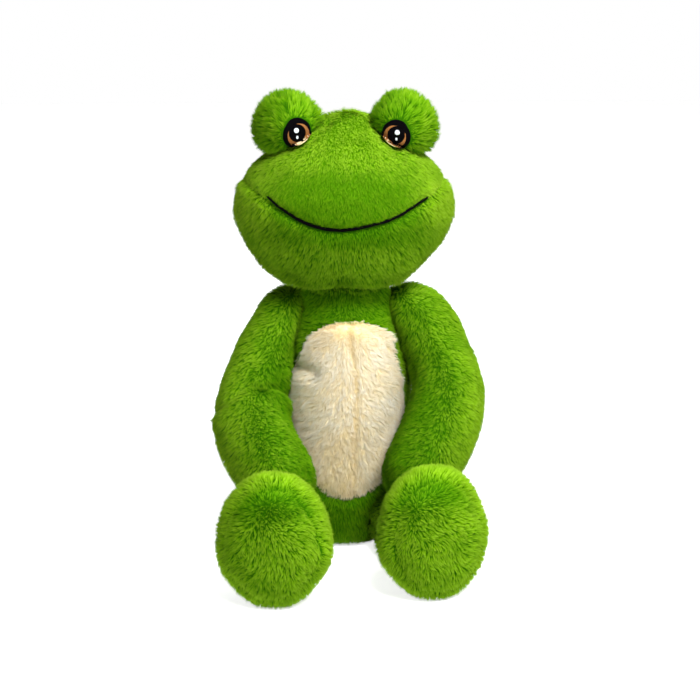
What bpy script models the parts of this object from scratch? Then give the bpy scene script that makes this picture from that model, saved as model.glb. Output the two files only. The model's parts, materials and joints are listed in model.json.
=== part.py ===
"""A seated plush frog: sewn cloth skins over fibre filling, jointed at the seams of its neck and limbs.

Metres, +Z up. The frog faces -Y and its own left is +X. The origin is the middle of the flat under the seat,
so the toy sits on the plane Z = 0.
"""

import math
from dataclasses import dataclass

import bmesh
import bpy
from mathutils import Matrix, Vector

# Cloth, seams and clearances
CLOTH = 0.0030
SEAM_GAP = 0.0003
FILL_GAP = 0.0003
TURN_GAP = 0.0004
PRESS_GAP = 0.0007
FLAT_DEPTH = 0.0005
CUT_OVERRUN = 0.0100

# Torso, from the seat up to the ball that the head sits on
BELLY_HALF_WIDTH = 0.0620
BELLY_FRONT = 0.0570
BELLY_BACK = 0.0500
NECK_HEIGHT = 0.2100
NECK_RADIUS = 0.0340
SIDE_SEAM_BACK = 0.0060
PELLET_HEIGHT = 0.0420
TORSO_SIDES = 18
NECK_RINGS = 4
# height as a share of the neck height, then width and depth as shares of the belly's
TORSO_RING_SHARES = (
    (0.000, 0.400),
    (0.012, 0.620),
    (0.045, 0.800),
    (0.110, 0.930),
    (0.210, 1.000),
    (0.340, 1.000),
    (0.480, 0.960),
    (0.620, 0.890),
    (0.760, 0.810),
    (0.880, 0.745),
    (0.965, 0.680),
    (1.020, 0.555),
)

# Belly patch, let into the front panel under the neck
PATCH_HALF_WIDTH = 0.0500
PATCH_HALF_HEIGHT = 0.0745
PATCH_BELOW_NECK = 0.0115
PATCH_SIDES = 20

# Neck seam, a turned-in band of doubled cloth between head and torso
NECK_SEAM_THICKNESS = 0.0016
NECK_SEAM_HALF_HEIGHT = 0.0050
NECK_SEAM_SIDES = 20
NECK_SINK = 0.0170

# Head
HEAD_HALF_WIDTH = 0.0920
HEAD_FRONT = 0.0720
HEAD_BACK = 0.0640
HEAD_ABOVE = 0.0750
HEAD_BELOW = 0.0720
HEAD_SHIFT = 0.0040
HEAD_SIDES = 20
HEAD_RINGS = 11
CROWN_TAPER_SHARE = 0.31
CROWN_TAPER_POWER = 1.5
HEAD_SEAM_BACK = 0.0080

# Mouth line and the seam under it, bent to this radius in its middle
MOUTH_RADIUS = 0.1005
MOUTH_HALF_WIDTH = 0.0650
MOUTH_DROP = 0.0155
MOUTH_THREAD = 0.0013
MOUTH_POINTS = 25
MOUTH_END_SHARE = 0.40

# Eye domes and embroidered eyes
DOME_RADIUS = 0.0275
DOME_SPREAD = 0.0475
DOME_RISE = 0.0648
DOME_FORWARD = 0.0120
DOME_SIDES = 14
EYE_HALF_WIDTH = 0.0118
EYE_HALF_HEIGHT = 0.0128
EYE_THREAD = 0.0012
EYE_INWARD_DEG = 14.0
EYE_DOWNWARD_DEG = 12.0
EYE_SIDES = 16

# Arms, hung from the shoulders, bowed out round the belly, with the paws on the thighs
ARM_ROOT_RADIUS = 0.0235
PAW_RADIUS = 0.0310
ARM_FULLNESS = 0.0042
SHOULDER_BELOW_NECK = 0.0110
LEFT_SHOULDER_OUT = 0.0165
RIGHT_SHOULDER_OUT = 0.0055
SHOULDER_BACK = 0.0040
LEFT_ELBOW_CLEARANCE = 0.0310
RIGHT_ELBOW_CLEARANCE = 0.0180
LEFT_ELBOW_BELOW_NECK = 0.0690
RIGHT_ELBOW_BELOW_NECK = 0.0930
ELBOW_FORWARD = 0.0250
LEFT_PAW_SPREAD = 0.0570
RIGHT_PAW_SPREAD = 0.0600
PAW_TO_FOOT = 0.0120
REST_GAP = 0.0008
ARM_SIDES = 10
ARM_RINGS = 12
ARM_START_SHARE = 0.85
ARM_END_SHARE = 0.75

# Legs, level on the ground from hip to ankle
HIP_RADIUS = 0.0260
ANKLE_RADIUS = 0.0240
HIP_INSET = 0.0180
HIP_SETBACK = 0.0120
LEFT_LEG_LENGTH = 0.0830
RIGHT_LEG_LENGTH = 0.0930
LEFT_LEG_SPLAY_DEG = 8.5
RIGHT_LEG_SPLAY_DEG = 10.0
LEG_SIDES = 12
LEG_RINGS = 9

# Feet, standing on their heels with the soles to the front
FOOT_HALF_WIDTH = 0.0450
FOOT_HALF_HEIGHT = 0.0540
FOOT_HALF_DEPTH = 0.0280
FOOT_AHEAD = 0.0330
FOOT_TOE_SHARE = 0.03
FOOT_LEAN_DEG = 6.0
SOLE_DEPTH = 0.0120
FOOT_SIDES = 12
FOOT_RINGS = 9

CUTTER_SEGMENTS = 14

# Colours, as the eye reads them off the toy
GREEN = (0.24, 0.45, 0.03)
CREAM = (0.80, 0.68, 0.45)
FIBRE = (0.85, 0.85, 0.82)
POUCH = (0.62, 0.62, 0.58)
THREAD_BLACK = (0.01, 0.01, 0.012)


@dataclass(frozen=True)
class Side:
    """Which way one side lies from the middle, and how its arm and leg are laid."""

    sign: int
    shoulder_out: float
    elbow_clearance: float
    elbow_below_neck: float
    paw_spread: float
    leg_length: float
    leg_splay_deg: float


SIDES = {
    "left": Side(
        1, LEFT_SHOULDER_OUT, LEFT_ELBOW_CLEARANCE, LEFT_ELBOW_BELOW_NECK,
        LEFT_PAW_SPREAD, LEFT_LEG_LENGTH, LEFT_LEG_SPLAY_DEG,
    ),
    "right": Side(
        -1, RIGHT_SHOULDER_OUT, RIGHT_ELBOW_CLEARANCE, RIGHT_ELBOW_BELOW_NECK,
        RIGHT_PAW_SPREAD, RIGHT_LEG_LENGTH, RIGHT_LEG_SPLAY_DEG,
    ),
}


def clear_scene():
    """Remove everything that the new file starts with."""
    for obj in list(bpy.data.objects):
        bpy.data.objects.remove(obj, do_unlink=True)


def material(name, color, roughness):
    """Return the named cloth, fibre or thread finish."""
    found = bpy.data.materials.get(name)
    if found:
        return found
    made = bpy.data.materials.new(name)
    made.use_nodes = True
    shader = made.node_tree.nodes["Principled BSDF"]
    shader.inputs["Base Color"].default_value = (*color, 1.0)
    shader.inputs["Roughness"].default_value = roughness
    shader.inputs["Metallic"].default_value = 0.0
    return made


def add_object(name, bm, finish=None):
    """Turn a bmesh into an object, a wire cutter where it has no finish."""
    mesh = bpy.data.meshes.new(name)
    bm.to_mesh(mesh)
    bm.free()
    obj = bpy.data.objects.new(name, mesh)
    bpy.context.scene.collection.objects.link(obj)
    if finish is None:
        obj.hide_render = True
        obj.display_type = "WIRE"
    else:
        mesh.materials.append(finish)
        mesh.shade_smooth()
    return obj


def boolean(obj, cutter, operation="DIFFERENCE"):
    """Cut an object by another, or keep what they share."""
    modifier = obj.modifiers.new(f"{operation.lower()} {cutter.name}", "BOOLEAN")
    modifier.solver = "EXACT"
    modifier.operation = operation
    modifier.object = cutter


def form(sides, rings, place):
    """Return a bmesh ball whose every point is moved by place, with its faces outwards."""
    bm = bmesh.new()
    bmesh.ops.create_uvsphere(bm, u_segments=sides, v_segments=rings, radius=1.0)
    for vert in bm.verts:
        vert.co = place(vert.co.copy())
    if bm.calc_volume(signed=True) < 0.0:
        bmesh.ops.reverse_faces(bm, faces=bm.faces[:])
    bm.normal_update()
    return bm


def lowest(bm):
    """Return the height of a form's lowest point, and free the form."""
    height = min(vert.co.z for vert in bm.verts)
    bm.free()
    return height


def move_in(bm, distance):
    """Move a form's surface inwards by an even distance, or outwards where it is negative."""
    moves = [vert.normal * distance * vert.calc_shell_factor() for vert in bm.verts]
    for vert, move in zip(bm.verts, moves):
        vert.co -= move
    bm.normal_update()
    return bm


def hollow(bm, wall):
    """Give a form an inner surface, one wall in, facing the space inside."""
    inner = bm.copy()
    move_in(inner, wall)
    bmesh.ops.reverse_faces(inner, faces=inner.faces[:])
    mesh = bpy.data.meshes.new("inner wall")
    inner.to_mesh(mesh)
    inner.free()
    bm.from_mesh(mesh)
    bpy.data.meshes.remove(mesh)
    return bm


def block(name, low, high, turn=None, centre=None):
    """Make a box-shaped cutter between two corners, turned about a centre where one is given."""
    bm = bmesh.new()
    bmesh.ops.create_cube(bm, size=1.0)
    size = Vector(high) - Vector(low)
    middle = (Vector(high) + Vector(low)) / 2
    for vert in bm.verts:
        vert.co = Vector(c * s for c, s in zip(vert.co, size)) + middle
        if turn is not None:
            vert.co = turn @ vert.co + centre
    return add_object(name, bm)


def ball_inside(name, centre, radius, segments=CUTTER_SEGMENTS):
    """Make a ball cutter whose corners lie on the radius."""
    return add_object(name, form(segments, segments // 2, lambda p: centre + p * radius))


def ball_outside(name, centre, radius, segments=CUTTER_SEGMENTS):
    """Make a ball cutter whose flat facets all lie outside the radius."""
    return ball_inside(name, centre, radius / math.cos(math.pi / segments) ** 2, segments)


def circle(sides):
    """Return the corners of a unit circle."""
    turns = [2.0 * math.pi * side / sides for side in range(sides)]
    return [(math.cos(turn), math.sin(turn)) for turn in turns]


def prism(outline, run):
    """Return a closed bmesh: an outline extruded along run, with a cap at each end."""
    bm = bmesh.new()
    face = bm.faces.new([bm.verts.new(point) for point in outline])
    geom = [face, *face.edges, *face.verts]
    sweep = bmesh.ops.extrude_face_region(bm, geom=geom, use_keep_orig=True)
    moved = [part for part in sweep["geom"] if isinstance(part, bmesh.types.BMVert)]
    bmesh.ops.translate(bm, verts=moved, vec=run)
    bmesh.ops.recalc_face_normals(bm, faces=bm.faces[:])
    return bm


def smooth_step(share):
    """Ease from 0 to 1."""
    share = min(max(share, 0.0), 1.0)
    return share * share * (3.0 - 2.0 * share)


class Torso:
    """The body: two panels, a belly patch, fibre above and pellets below, and its places for head and limbs."""

    def __init__(self):
        self.neck = Vector((0.0, 0.0, NECK_HEIGHT))
        self.shoulders = {}
        self.hips = {}
        shoulder_height = NECK_HEIGHT - SHOULDER_BELOW_NECK
        shoulder_width = BELLY_HALF_WIDTH * self.share_at(shoulder_height)
        for side, lay in SIDES.items():
            out = lay.sign * (shoulder_width + lay.shoulder_out)
            self.shoulders[side] = Vector((out, SHOULDER_BACK, shoulder_height))
            self.hips[side] = Vector((
                lay.sign * (BELLY_HALF_WIDTH - HIP_INSET),
                -(BELLY_FRONT - HIP_SETBACK),
                HIP_RADIUS - FLAT_DEPTH,
            ))

    def share_at(self, height):
        """Return the torso's width at a height as a share of the belly's."""
        share = height / NECK_HEIGHT
        for (low, width_low), (high, width_high) in zip(TORSO_RING_SHARES, TORSO_RING_SHARES[1:]):
            if low <= share <= high:
                return width_low + (width_high - width_low) * (share - low) / (high - low)
        return TORSO_RING_SHARES[-1][1]

    def rings(self):
        """Return each ring's height, half width, front and back, up to the top of the neck ball."""
        rows = [
            (NECK_HEIGHT * height - FLAT_DEPTH * (1.0 - height), BELLY_HALF_WIDTH * size,
             BELLY_FRONT * size, BELLY_BACK * size)
            for height, size in TORSO_RING_SHARES
        ]
        start = math.asin((rows[-1][0] - NECK_HEIGHT) / NECK_RADIUS)
        for step in range(1, NECK_RINGS + 1):
            angle = start + (math.pi / 2 - start) * step / (NECK_RINGS + 1)
            reach = NECK_RADIUS * math.cos(angle)
            rows.append((NECK_HEIGHT + NECK_RADIUS * math.sin(angle), reach, reach, reach))
        return rows

    def form(self):
        """Return the torso's outer form."""
        rows = self.rings()
        top = NECK_HEIGHT + NECK_RADIUS

        def place(point):
            turn = math.acos(max(-1.0, min(1.0, -point.z))) / math.pi * (len(rows) + 1)
            index = round(turn) - 1
            if index < 0:
                return Vector((0.0, 0.0, -FLAT_DEPTH))
            if index >= len(rows):
                return Vector((0.0, 0.0, top))
            height, half_width, front, back = rows[index]
            reach = math.hypot(point.x, point.y)
            depth = front if point.y < 0.0 else back
            return Vector((half_width * point.x / reach, depth * point.y / reach, height))

        return form(TORSO_SIDES, len(rows) + 1, place)

    def cutters(self):
        """Make the balls that seat the limbs, and the ground plane."""
        made = []
        for side in SIDES:
            made.append(ball_outside(f"{side}_shoulder_seat", self.shoulders[side], ARM_ROOT_RADIUS + TURN_GAP))
            made.append(ball_outside(f"{side}_hip_seat", self.hips[side], HIP_RADIUS + TURN_GAP))
        made.append(ground_cutter("seat_flat"))
        return made

    def press(self, name, ball_centre, ball_radius, grow):
        """Make the torso's form, grown, without the ball of the limb that it presses into."""
        cutter = add_object(name, move_in(self.form(), -PRESS_GAP - grow))
        boolean(cutter, ball_inside(f"{name}_ball", ball_centre, ball_radius - grow))
        return cutter

    def patch_cutter(self, name, grow):
        """Make the belly patch's outline, a standing ellipse run through the front."""
        run = BELLY_FRONT + CUT_OVERRUN
        middle = NECK_HEIGHT - PATCH_BELOW_NECK - PATCH_HALF_HEIGHT
        outline = [
            Vector((x * (PATCH_HALF_WIDTH + grow), -run, middle + z * (PATCH_HALF_HEIGHT + grow)))
            for x, z in circle(PATCH_SIDES)
        ]
        return add_object(name, prism(outline, Vector((0.0, run, 0.0))))

    def build(self):
        """Build the panels, the patch, the fibre and the pellet pouch."""
        cutters = self.cutters()
        wide = BELLY_HALF_WIDTH + CUT_OVERRUN
        deep = max(BELLY_FRONT, BELLY_BACK) + CUT_OVERRUN
        top = NECK_HEIGHT + NECK_RADIUS + CUT_OVERRUN
        seam = SEAM_GAP / 2
        front_half = block("torso_front_half", (-wide, -deep, -CUT_OVERRUN), (wide, SIDE_SEAM_BACK - seam, top))
        back_half = block("torso_back_half", (-wide, SIDE_SEAM_BACK + seam, -CUT_OVERRUN), (wide, deep, top))
        patch_hole = self.patch_cutter("patch_hole", seam)
        patch_outline = self.patch_cutter("patch_outline", -seam)
        green = material("green_plush", GREEN, 0.85)
        cream = material("cream_plush", CREAM, 0.85)

        front = add_object("torso_front", hollow(self.form(), CLOTH), green)
        back = add_object("torso_back", hollow(self.form(), CLOTH), green)
        for panel in (front, back):
            for cutter in cutters:
                boolean(panel, cutter)
        boolean(front, front_half, "INTERSECT")
        boolean(front, patch_hole)
        boolean(back, back_half, "INTERSECT")
        patch = add_object("belly_patch", hollow(self.form(), CLOTH), cream)
        boolean(patch, patch_outline, "INTERSECT")

        inside = CLOTH + FILL_GAP
        upper = block("fibre_part", (-wide, -deep, PELLET_HEIGHT + FILL_GAP), (wide, deep, top))
        lower = block("pellet_part", (-wide, -deep, -CUT_OVERRUN), (wide, deep, PELLET_HEIGHT))
        fibre = add_object("torso_stuffing", move_in(self.form(), inside), material("fibre", FIBRE, 0.95))
        boolean(fibre, upper, "INTERSECT")
        pouch = add_object("pellet_pouch", move_in(self.form(), inside), material("pouch_cloth", POUCH, 0.9))
        boolean(pouch, lower, "INTERSECT")
        for filling in (fibre, pouch):
            for cutter in cutters[:-1]:
                boolean(filling, cutter)


def ground_cutter(name):
    """Make the block under the plane that the toy sits on."""
    leg_length = max(lay.leg_length for lay in SIDES.values())
    reach = BELLY_BACK + BELLY_FRONT + leg_length + FOOT_AHEAD + FOOT_HALF_DEPTH + CUT_OVERRUN
    return block(name, (-reach, -reach, -CUT_OVERRUN), (reach, reach, 0.0))


def neck_seam_radii():
    """Return the neck seam's inner and outer radius, its flat sides clear of the neck ball."""
    inner = (NECK_RADIUS + TURN_GAP) / math.cos(math.pi / NECK_SEAM_SIDES)
    return inner, inner + NECK_SEAM_THICKNESS


def build_neck_seam(torso):
    """Build the neck seam: a band of doubled cloth round the neck ball, under the head."""
    inner, outer = neck_seam_radii()
    head_base = NECK_RADIUS - NECK_SINK
    low = math.asin((head_base - NECK_SEAM_HALF_HEIGHT) / NECK_RADIUS)
    high = math.asin((head_base + NECK_SEAM_HALF_HEIGHT) / NECK_RADIUS)
    bm = bmesh.new()
    corners = []
    for reach, angle in ((inner, low), (outer, low), (outer, high), (inner, high)):
        local = Vector((reach * math.cos(angle), 0.0, reach * math.sin(angle)))
        corners.append(bm.verts.new(torso.neck + local))
    edges = [bm.edges.new((corners[i], corners[(i + 1) % len(corners)])) for i in range(len(corners))]
    bmesh.ops.spin(
        bm, geom=corners + edges, cent=torso.neck, axis=(0.0, 0.0, 1.0), angle=2.0 * math.pi,
        steps=NECK_SEAM_SIDES, use_merge=True, use_duplicate=False,
    )
    bmesh.ops.recalc_face_normals(bm, faces=bm.faces[:])
    add_object("neck_seam", bm, material("green_plush", GREEN, 0.85))


class Head:
    """The head: a wide, low form with two eye domes, an embroidered mouth and embroidered eyes."""

    def __init__(self, torso):
        base = torso.neck.z + NECK_RADIUS - NECK_SINK
        self.neck = torso.neck
        self.centre = Vector((0.0, -HEAD_SHIFT, base + HEAD_BELOW))

    def world(self, local):
        """Turn a point given from the head's middle into the toy's frame."""
        return self.centre + Vector(local)

    def crown_taper(self, up):
        """Return how far the head draws in at a share of its height above the middle."""
        return 1.0 - CROWN_TAPER_SHARE * max(up, 0.0) ** CROWN_TAPER_POWER

    def reach(self, point):
        """Move a point of the unit ball to the head's surface, given from its middle."""
        taper = self.crown_taper(point.z)
        depth = HEAD_FRONT if point.y < 0.0 else HEAD_BACK
        height = HEAD_ABOVE if point.z > 0.0 else HEAD_BELOW
        return Vector((HEAD_HALF_WIDTH * taper * point.x, depth * taper * point.y, height * point.z))

    def front_at(self, x, z):
        """Return the face's depth, as a negative Y, at a place given from the head's middle."""
        up = z / (HEAD_ABOVE if z > 0.0 else HEAD_BELOW)
        taper = self.crown_taper(up)
        side = x / (HEAD_HALF_WIDTH * taper)
        return -HEAD_FRONT * taper * math.sqrt(max(0.0, 1.0 - up * up - side * side))

    def form(self):
        """Return the head's outer form."""
        return form(HEAD_SIDES, HEAD_RINGS, lambda p: self.world(self.reach(p)))

    def mouth_height(self, x):
        """Return the mouth seam's height from the head's middle: a low bow, as a parabola."""
        return x * x / (2 * MOUTH_RADIUS) - MOUTH_DROP

    def above_mouth(self, name, shift):
        """Make the block whose underside is the mouth seam, run from front to back."""
        half = HEAD_HALF_WIDTH + CUT_OVERRUN
        top = HEAD_ABOVE + CUT_OVERRUN
        places = [half * (2 * i / (MOUTH_POINTS - 1) - 1) for i in range(MOUTH_POINTS)]
        corners = [(x, self.mouth_height(x) + shift) for x in places] + [(half, top), (-half, top)]
        outline = [self.world((x, -HEAD_FRONT - CUT_OVERRUN, z)) for x, z in corners]
        run = Vector((0.0, HEAD_FRONT + HEAD_BACK + 2 * CUT_OVERRUN, 0.0))
        return add_object(name, prism(outline, run))

    def build(self):
        """Build the head's three panels, its filling, the mouth, the domes and the eyes."""
        green = material("green_plush", GREEN, 0.85)
        wide = HEAD_HALF_WIDTH + CUT_OVERRUN
        deep = max(HEAD_FRONT, HEAD_BACK) + CUT_OVERRUN
        high = max(HEAD_ABOVE, HEAD_BELOW) + CUT_OVERRUN
        seam = SEAM_GAP / 2
        front_low, front_high = (-wide, -deep, -high), (wide, HEAD_SEAM_BACK - seam, high)
        back_low, back_high = (-wide, HEAD_SEAM_BACK + seam, -high), (wide, deep, high)
        front_half = block("head_front_half", self.world(front_low), self.world(front_high))
        back_half = block("head_back_half", self.world(back_low), self.world(back_high))
        face_part = self.above_mouth("face_part", seam)
        chin_part = self.above_mouth("chin_part", -seam)
        neck_seat = ball_outside("neck_seat", self.neck, neck_seam_radii()[1] + TURN_GAP, NECK_SEAM_SIDES)

        face = add_object("head_face", hollow(self.form(), CLOTH), green)
        boolean(face, front_half, "INTERSECT")
        boolean(face, face_part, "INTERSECT")
        chin = add_object("head_chin", hollow(self.form(), CLOTH), green)
        boolean(chin, front_half, "INTERSECT")
        boolean(chin, chin_part)
        back = add_object("head_back", hollow(self.form(), CLOTH), green)
        boolean(back, back_half, "INTERSECT")
        inside = CLOTH + FILL_GAP
        fibre = add_object("head_stuffing", move_in(self.form(), inside), material("fibre", FIBRE, 0.95))
        for piece in (chin, back, fibre):
            boolean(piece, neck_seat)
        self.build_mouth()
        outside = add_object("head_outside", move_in(self.form(), -SEAM_GAP))
        for side, lay in SIDES.items():
            self.build_dome(side, lay.sign, outside)
            self.build_eye(side, lay.sign, outside)

    def build_mouth(self):
        """Build the mouth as a line of black thread on the face, thinner at its ends."""
        curve = bpy.data.curves.new("mouth_embroidery", "CURVE")
        curve.dimensions = "3D"
        curve.bevel_depth = MOUTH_THREAD
        curve.bevel_resolution = 1
        curve.use_fill_caps = True
        line = curve.splines.new("POLY")
        line.points.add(MOUTH_POINTS - 1)
        for index, point in enumerate(line.points):
            share = 2 * index / (MOUTH_POINTS - 1) - 1
            x = MOUTH_HALF_WIDTH * share
            z = self.mouth_height(x)
            surface = Vector((x, self.front_at(x, z), z))
            outward = Vector((
                surface.x / HEAD_HALF_WIDTH ** 2,
                surface.y / HEAD_FRONT ** 2,
                surface.z / HEAD_ABOVE ** 2,
            )).normalized()
            place = self.world(surface + outward * (MOUTH_THREAD + SEAM_GAP))
            point.co = (*place, 1.0)
            point.radius = 1 - (1 - MOUTH_END_SHARE) * share * share
        obj = bpy.data.objects.new("mouth_embroidery", curve)
        curve.materials.append(material("black_thread", THREAD_BLACK, 0.5))
        bpy.context.scene.collection.objects.link(obj)

    def dome_centre(self, sign):
        """Return the middle of an eye dome's ball."""
        return self.world((sign * DOME_SPREAD, -DOME_FORWARD, DOME_RISE))

    def build_dome(self, side, sign, outside):
        """Build an eye dome's cloth and filling, both open where they meet the head."""
        centre = self.dome_centre(sign)

        def ball(radius):
            return form(DOME_SIDES, DOME_SIDES // 2, lambda p: centre + p * radius)

        green = material("green_plush", GREEN, 0.85)
        skin = add_object(f"{side}_eye_dome", hollow(ball(DOME_RADIUS), CLOTH), green)
        fibre = material("fibre", FIBRE, 0.95)
        filling = add_object(f"{side}_eye_dome_stuffing", ball(DOME_RADIUS - CLOTH - FILL_GAP), fibre)
        boolean(skin, outside)
        boolean(filling, outside)

    def build_eye(self, side, sign, outside):
        """Build an embroidered eye, a thin oval cap of thread on the dome's front."""
        centre = self.dome_centre(sign)
        inward = Matrix.Rotation(math.radians(-sign * EYE_INWARD_DEG), 3, "Z")
        downward = Matrix.Rotation(math.radians(EYE_DOWNWARD_DEG), 3, "X")
        aim = inward @ downward
        radius = DOME_RADIUS + SEAM_GAP
        run = DOME_RADIUS + CUT_OVERRUN
        outline = [
            centre + aim @ Vector((x * EYE_HALF_WIDTH, -run, z * EYE_HALF_HEIGHT))
            for x, z in circle(EYE_SIDES)
        ]
        bm = prism(outline, aim @ Vector((0.0, run, 0.0)))
        eye = add_object(f"{side}_eye_embroidery", bm, material("black_thread", THREAD_BLACK, 0.5))
        boolean(eye, ball_inside(f"{side}_eye_top", centre, radius + EYE_THREAD, DOME_SIDES), "INTERSECT")
        boolean(eye, ball_inside(f"{side}_eye_seat", centre, radius, DOME_SIDES))
        boolean(eye, outside)


class Limb:
    """A stuffed tube between two round ends, along a curve that lies in one plane."""

    def __init__(self, points, start_radius, end_radius, fullness=0.0):
        self.points = [Vector(point) for point in points]
        self.start_radius = start_radius
        self.end_radius = end_radius
        self.fullness = fullness
        first, second = self.points[1] - self.points[0], self.points[-1] - self.points[0]
        across = first.cross(second)
        if across.length < first.length * second.length * FLAT_DEPTH:
            across = second.cross(Vector((0.0, 0.0, 1.0)))
        self.across = across.normalized()

    def at(self, share):
        """Return the curve's point and direction at a share of its length."""
        a, b, c, d = self.points
        rest = 1.0 - share
        place = a * rest ** 3 + b * 3 * rest * rest * share + c * 3 * rest * share * share + d * share ** 3
        along = (b - a) * rest * rest + (c - b) * 2 * rest * share + (d - c) * share * share
        return place, along.normalized()

    def radius(self, share):
        """Return the tube's radius, easing from one end's to the other's and fuller in between."""
        eased = self.start_radius + (self.end_radius - self.start_radius) * smooth_step(share)
        return eased + self.fullness * math.sin(math.pi * share)

    def place(self, point):
        """Move a point of the unit ball to the limb's surface."""
        turn = math.acos(max(-1.0, min(1.0, point.z)))
        cap = math.pi / 4
        share = (turn - cap) / (math.pi - 2.0 * cap)
        if share < 0.0:
            lean, share = turn / cap * math.pi / 2, 0.0
        elif share > 1.0:
            lean, share = math.pi - (math.pi - turn) / cap * math.pi / 2, 1.0
        else:
            lean = math.pi / 2
        middle, along = self.at(share)
        beside = along.cross(self.across)
        radius = self.radius(share)
        flat = math.hypot(point.x, point.y)
        ring = (self.across * point.x + beside * point.y) / flat if flat > 0.0 else Vector()
        return middle + (ring * math.sin(lean) - along * math.cos(lean)) * radius

    def build(self, side, name, torso, panels, sides, rings):
        """Build two skin panels and the filling, all pressed in where the torso pushes into them."""
        start = self.points[0]
        clear = self.start_radius + TURN_GAP / 2
        whole = f"{side}_{name}"
        inside = CLOTH + FILL_GAP
        outside_press = torso.press(f"{whole}_press", start, clear, 0.0)
        room = add_object(f"{whole}_room", move_in(form(sides, rings, self.place), CLOTH))
        boolean(room, torso.press(f"{whole}_room_press", start, clear, CLOTH))
        for panel, half in panels:
            skin = add_object(f"{whole}_{panel}", form(sides, rings, self.place), material("green_plush", GREEN, 0.85))
            boolean(skin, outside_press)
            boolean(skin, room)
            boolean(skin, half, "INTERSECT")
        filling = move_in(form(sides, rings, self.place), inside)
        stuffing = add_object(f"{whole}_stuffing", filling, material("fibre", FIBRE, 0.95))
        boolean(stuffing, torso.press(f"{whole}_filling_press", start, clear, inside))


def seam_halves(name, centre, normal, reach):
    """Make the two blocks that part a limb's skin along the plane through its seams."""
    turn = normal.to_track_quat("Z", "Y").to_matrix()
    seam = SEAM_GAP / 2
    upper = block(f"{name}_first", (-reach, -reach, seam), (reach, reach, reach), turn, centre)
    lower = block(f"{name}_second", (-reach, -reach, -reach), (reach, reach, -seam), turn, centre)
    return upper, lower


def build_arm(side, torso, paw_y):
    """Build an arm: front and back panels over fibre, from the shoulder's ball to the paw."""
    lay = SIDES[side]
    shoulder = torso.shoulders[side]
    height = NECK_HEIGHT - lay.elbow_below_neck
    elbow_x = BELLY_HALF_WIDTH * torso.share_at(height) + ARM_ROOT_RADIUS + lay.elbow_clearance
    elbow = Vector((lay.sign * elbow_x, -ELBOW_FORWARD, height))
    leg_top = 2 * HIP_RADIUS - FLAT_DEPTH
    paw = Vector((lay.sign * lay.paw_spread, paw_y, leg_top + REST_GAP + PAW_RADIUS))
    limb = Limb(
        (shoulder, shoulder.lerp(elbow, ARM_START_SHARE), paw.lerp(elbow, ARM_END_SHARE), paw),
        ARM_ROOT_RADIUS,
        PAW_RADIUS,
        ARM_FULLNESS,
    )
    if limb.across.y > 0.0:
        limb.across = -limb.across
    reach = (paw - shoulder).length + 2 * PAW_RADIUS + CUT_OVERRUN
    front, back = seam_halves(f"{side}_arm_seam", shoulder, limb.across, reach)
    limb.build(side, "arm", torso, (("front", front), ("back", back)), ARM_SIDES, ARM_RINGS)


def leg_ends(side, torso):
    """Return a leg's hip and ankle, both a radius above the ground, and its direction."""
    lay = SIDES[side]
    hip = torso.hips[side]
    splay = math.radians(lay.leg_splay_deg)
    ahead = Vector((lay.sign * math.sin(splay), -math.cos(splay), 0.0))
    ankle = hip + ahead * lay.leg_length
    ankle.z = ANKLE_RADIUS - FLAT_DEPTH
    return hip, ankle, ahead


def build_leg(side, torso):
    """Build a leg: top and bottom panels over fibre, flat where it lies on the ground."""
    hip, ankle, ahead = leg_ends(side, torso)
    limb = Limb((hip, hip.lerp(ankle, 1 / 3), hip.lerp(ankle, 2 / 3), ankle), HIP_RADIUS, ANKLE_RADIUS)
    limb.across = Vector((0.0, 0.0, 1.0)).cross(ahead).normalized()
    up = (ankle - hip).normalized().cross(limb.across)
    if up.z < 0.0:
        up = -up
    reach = (ankle - hip).length + 2 * HIP_RADIUS + CUT_OVERRUN
    upper, lower = seam_halves(f"{side}_leg_seam", hip, up, reach)
    limb.build(side, "leg", torso, (("top", upper), ("bottom", lower)), LEG_SIDES, LEG_RINGS)
    boolean(bpy.data.objects[f"{side}_leg_bottom"], ground_cutter(f"{side}_leg_flat"))


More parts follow.
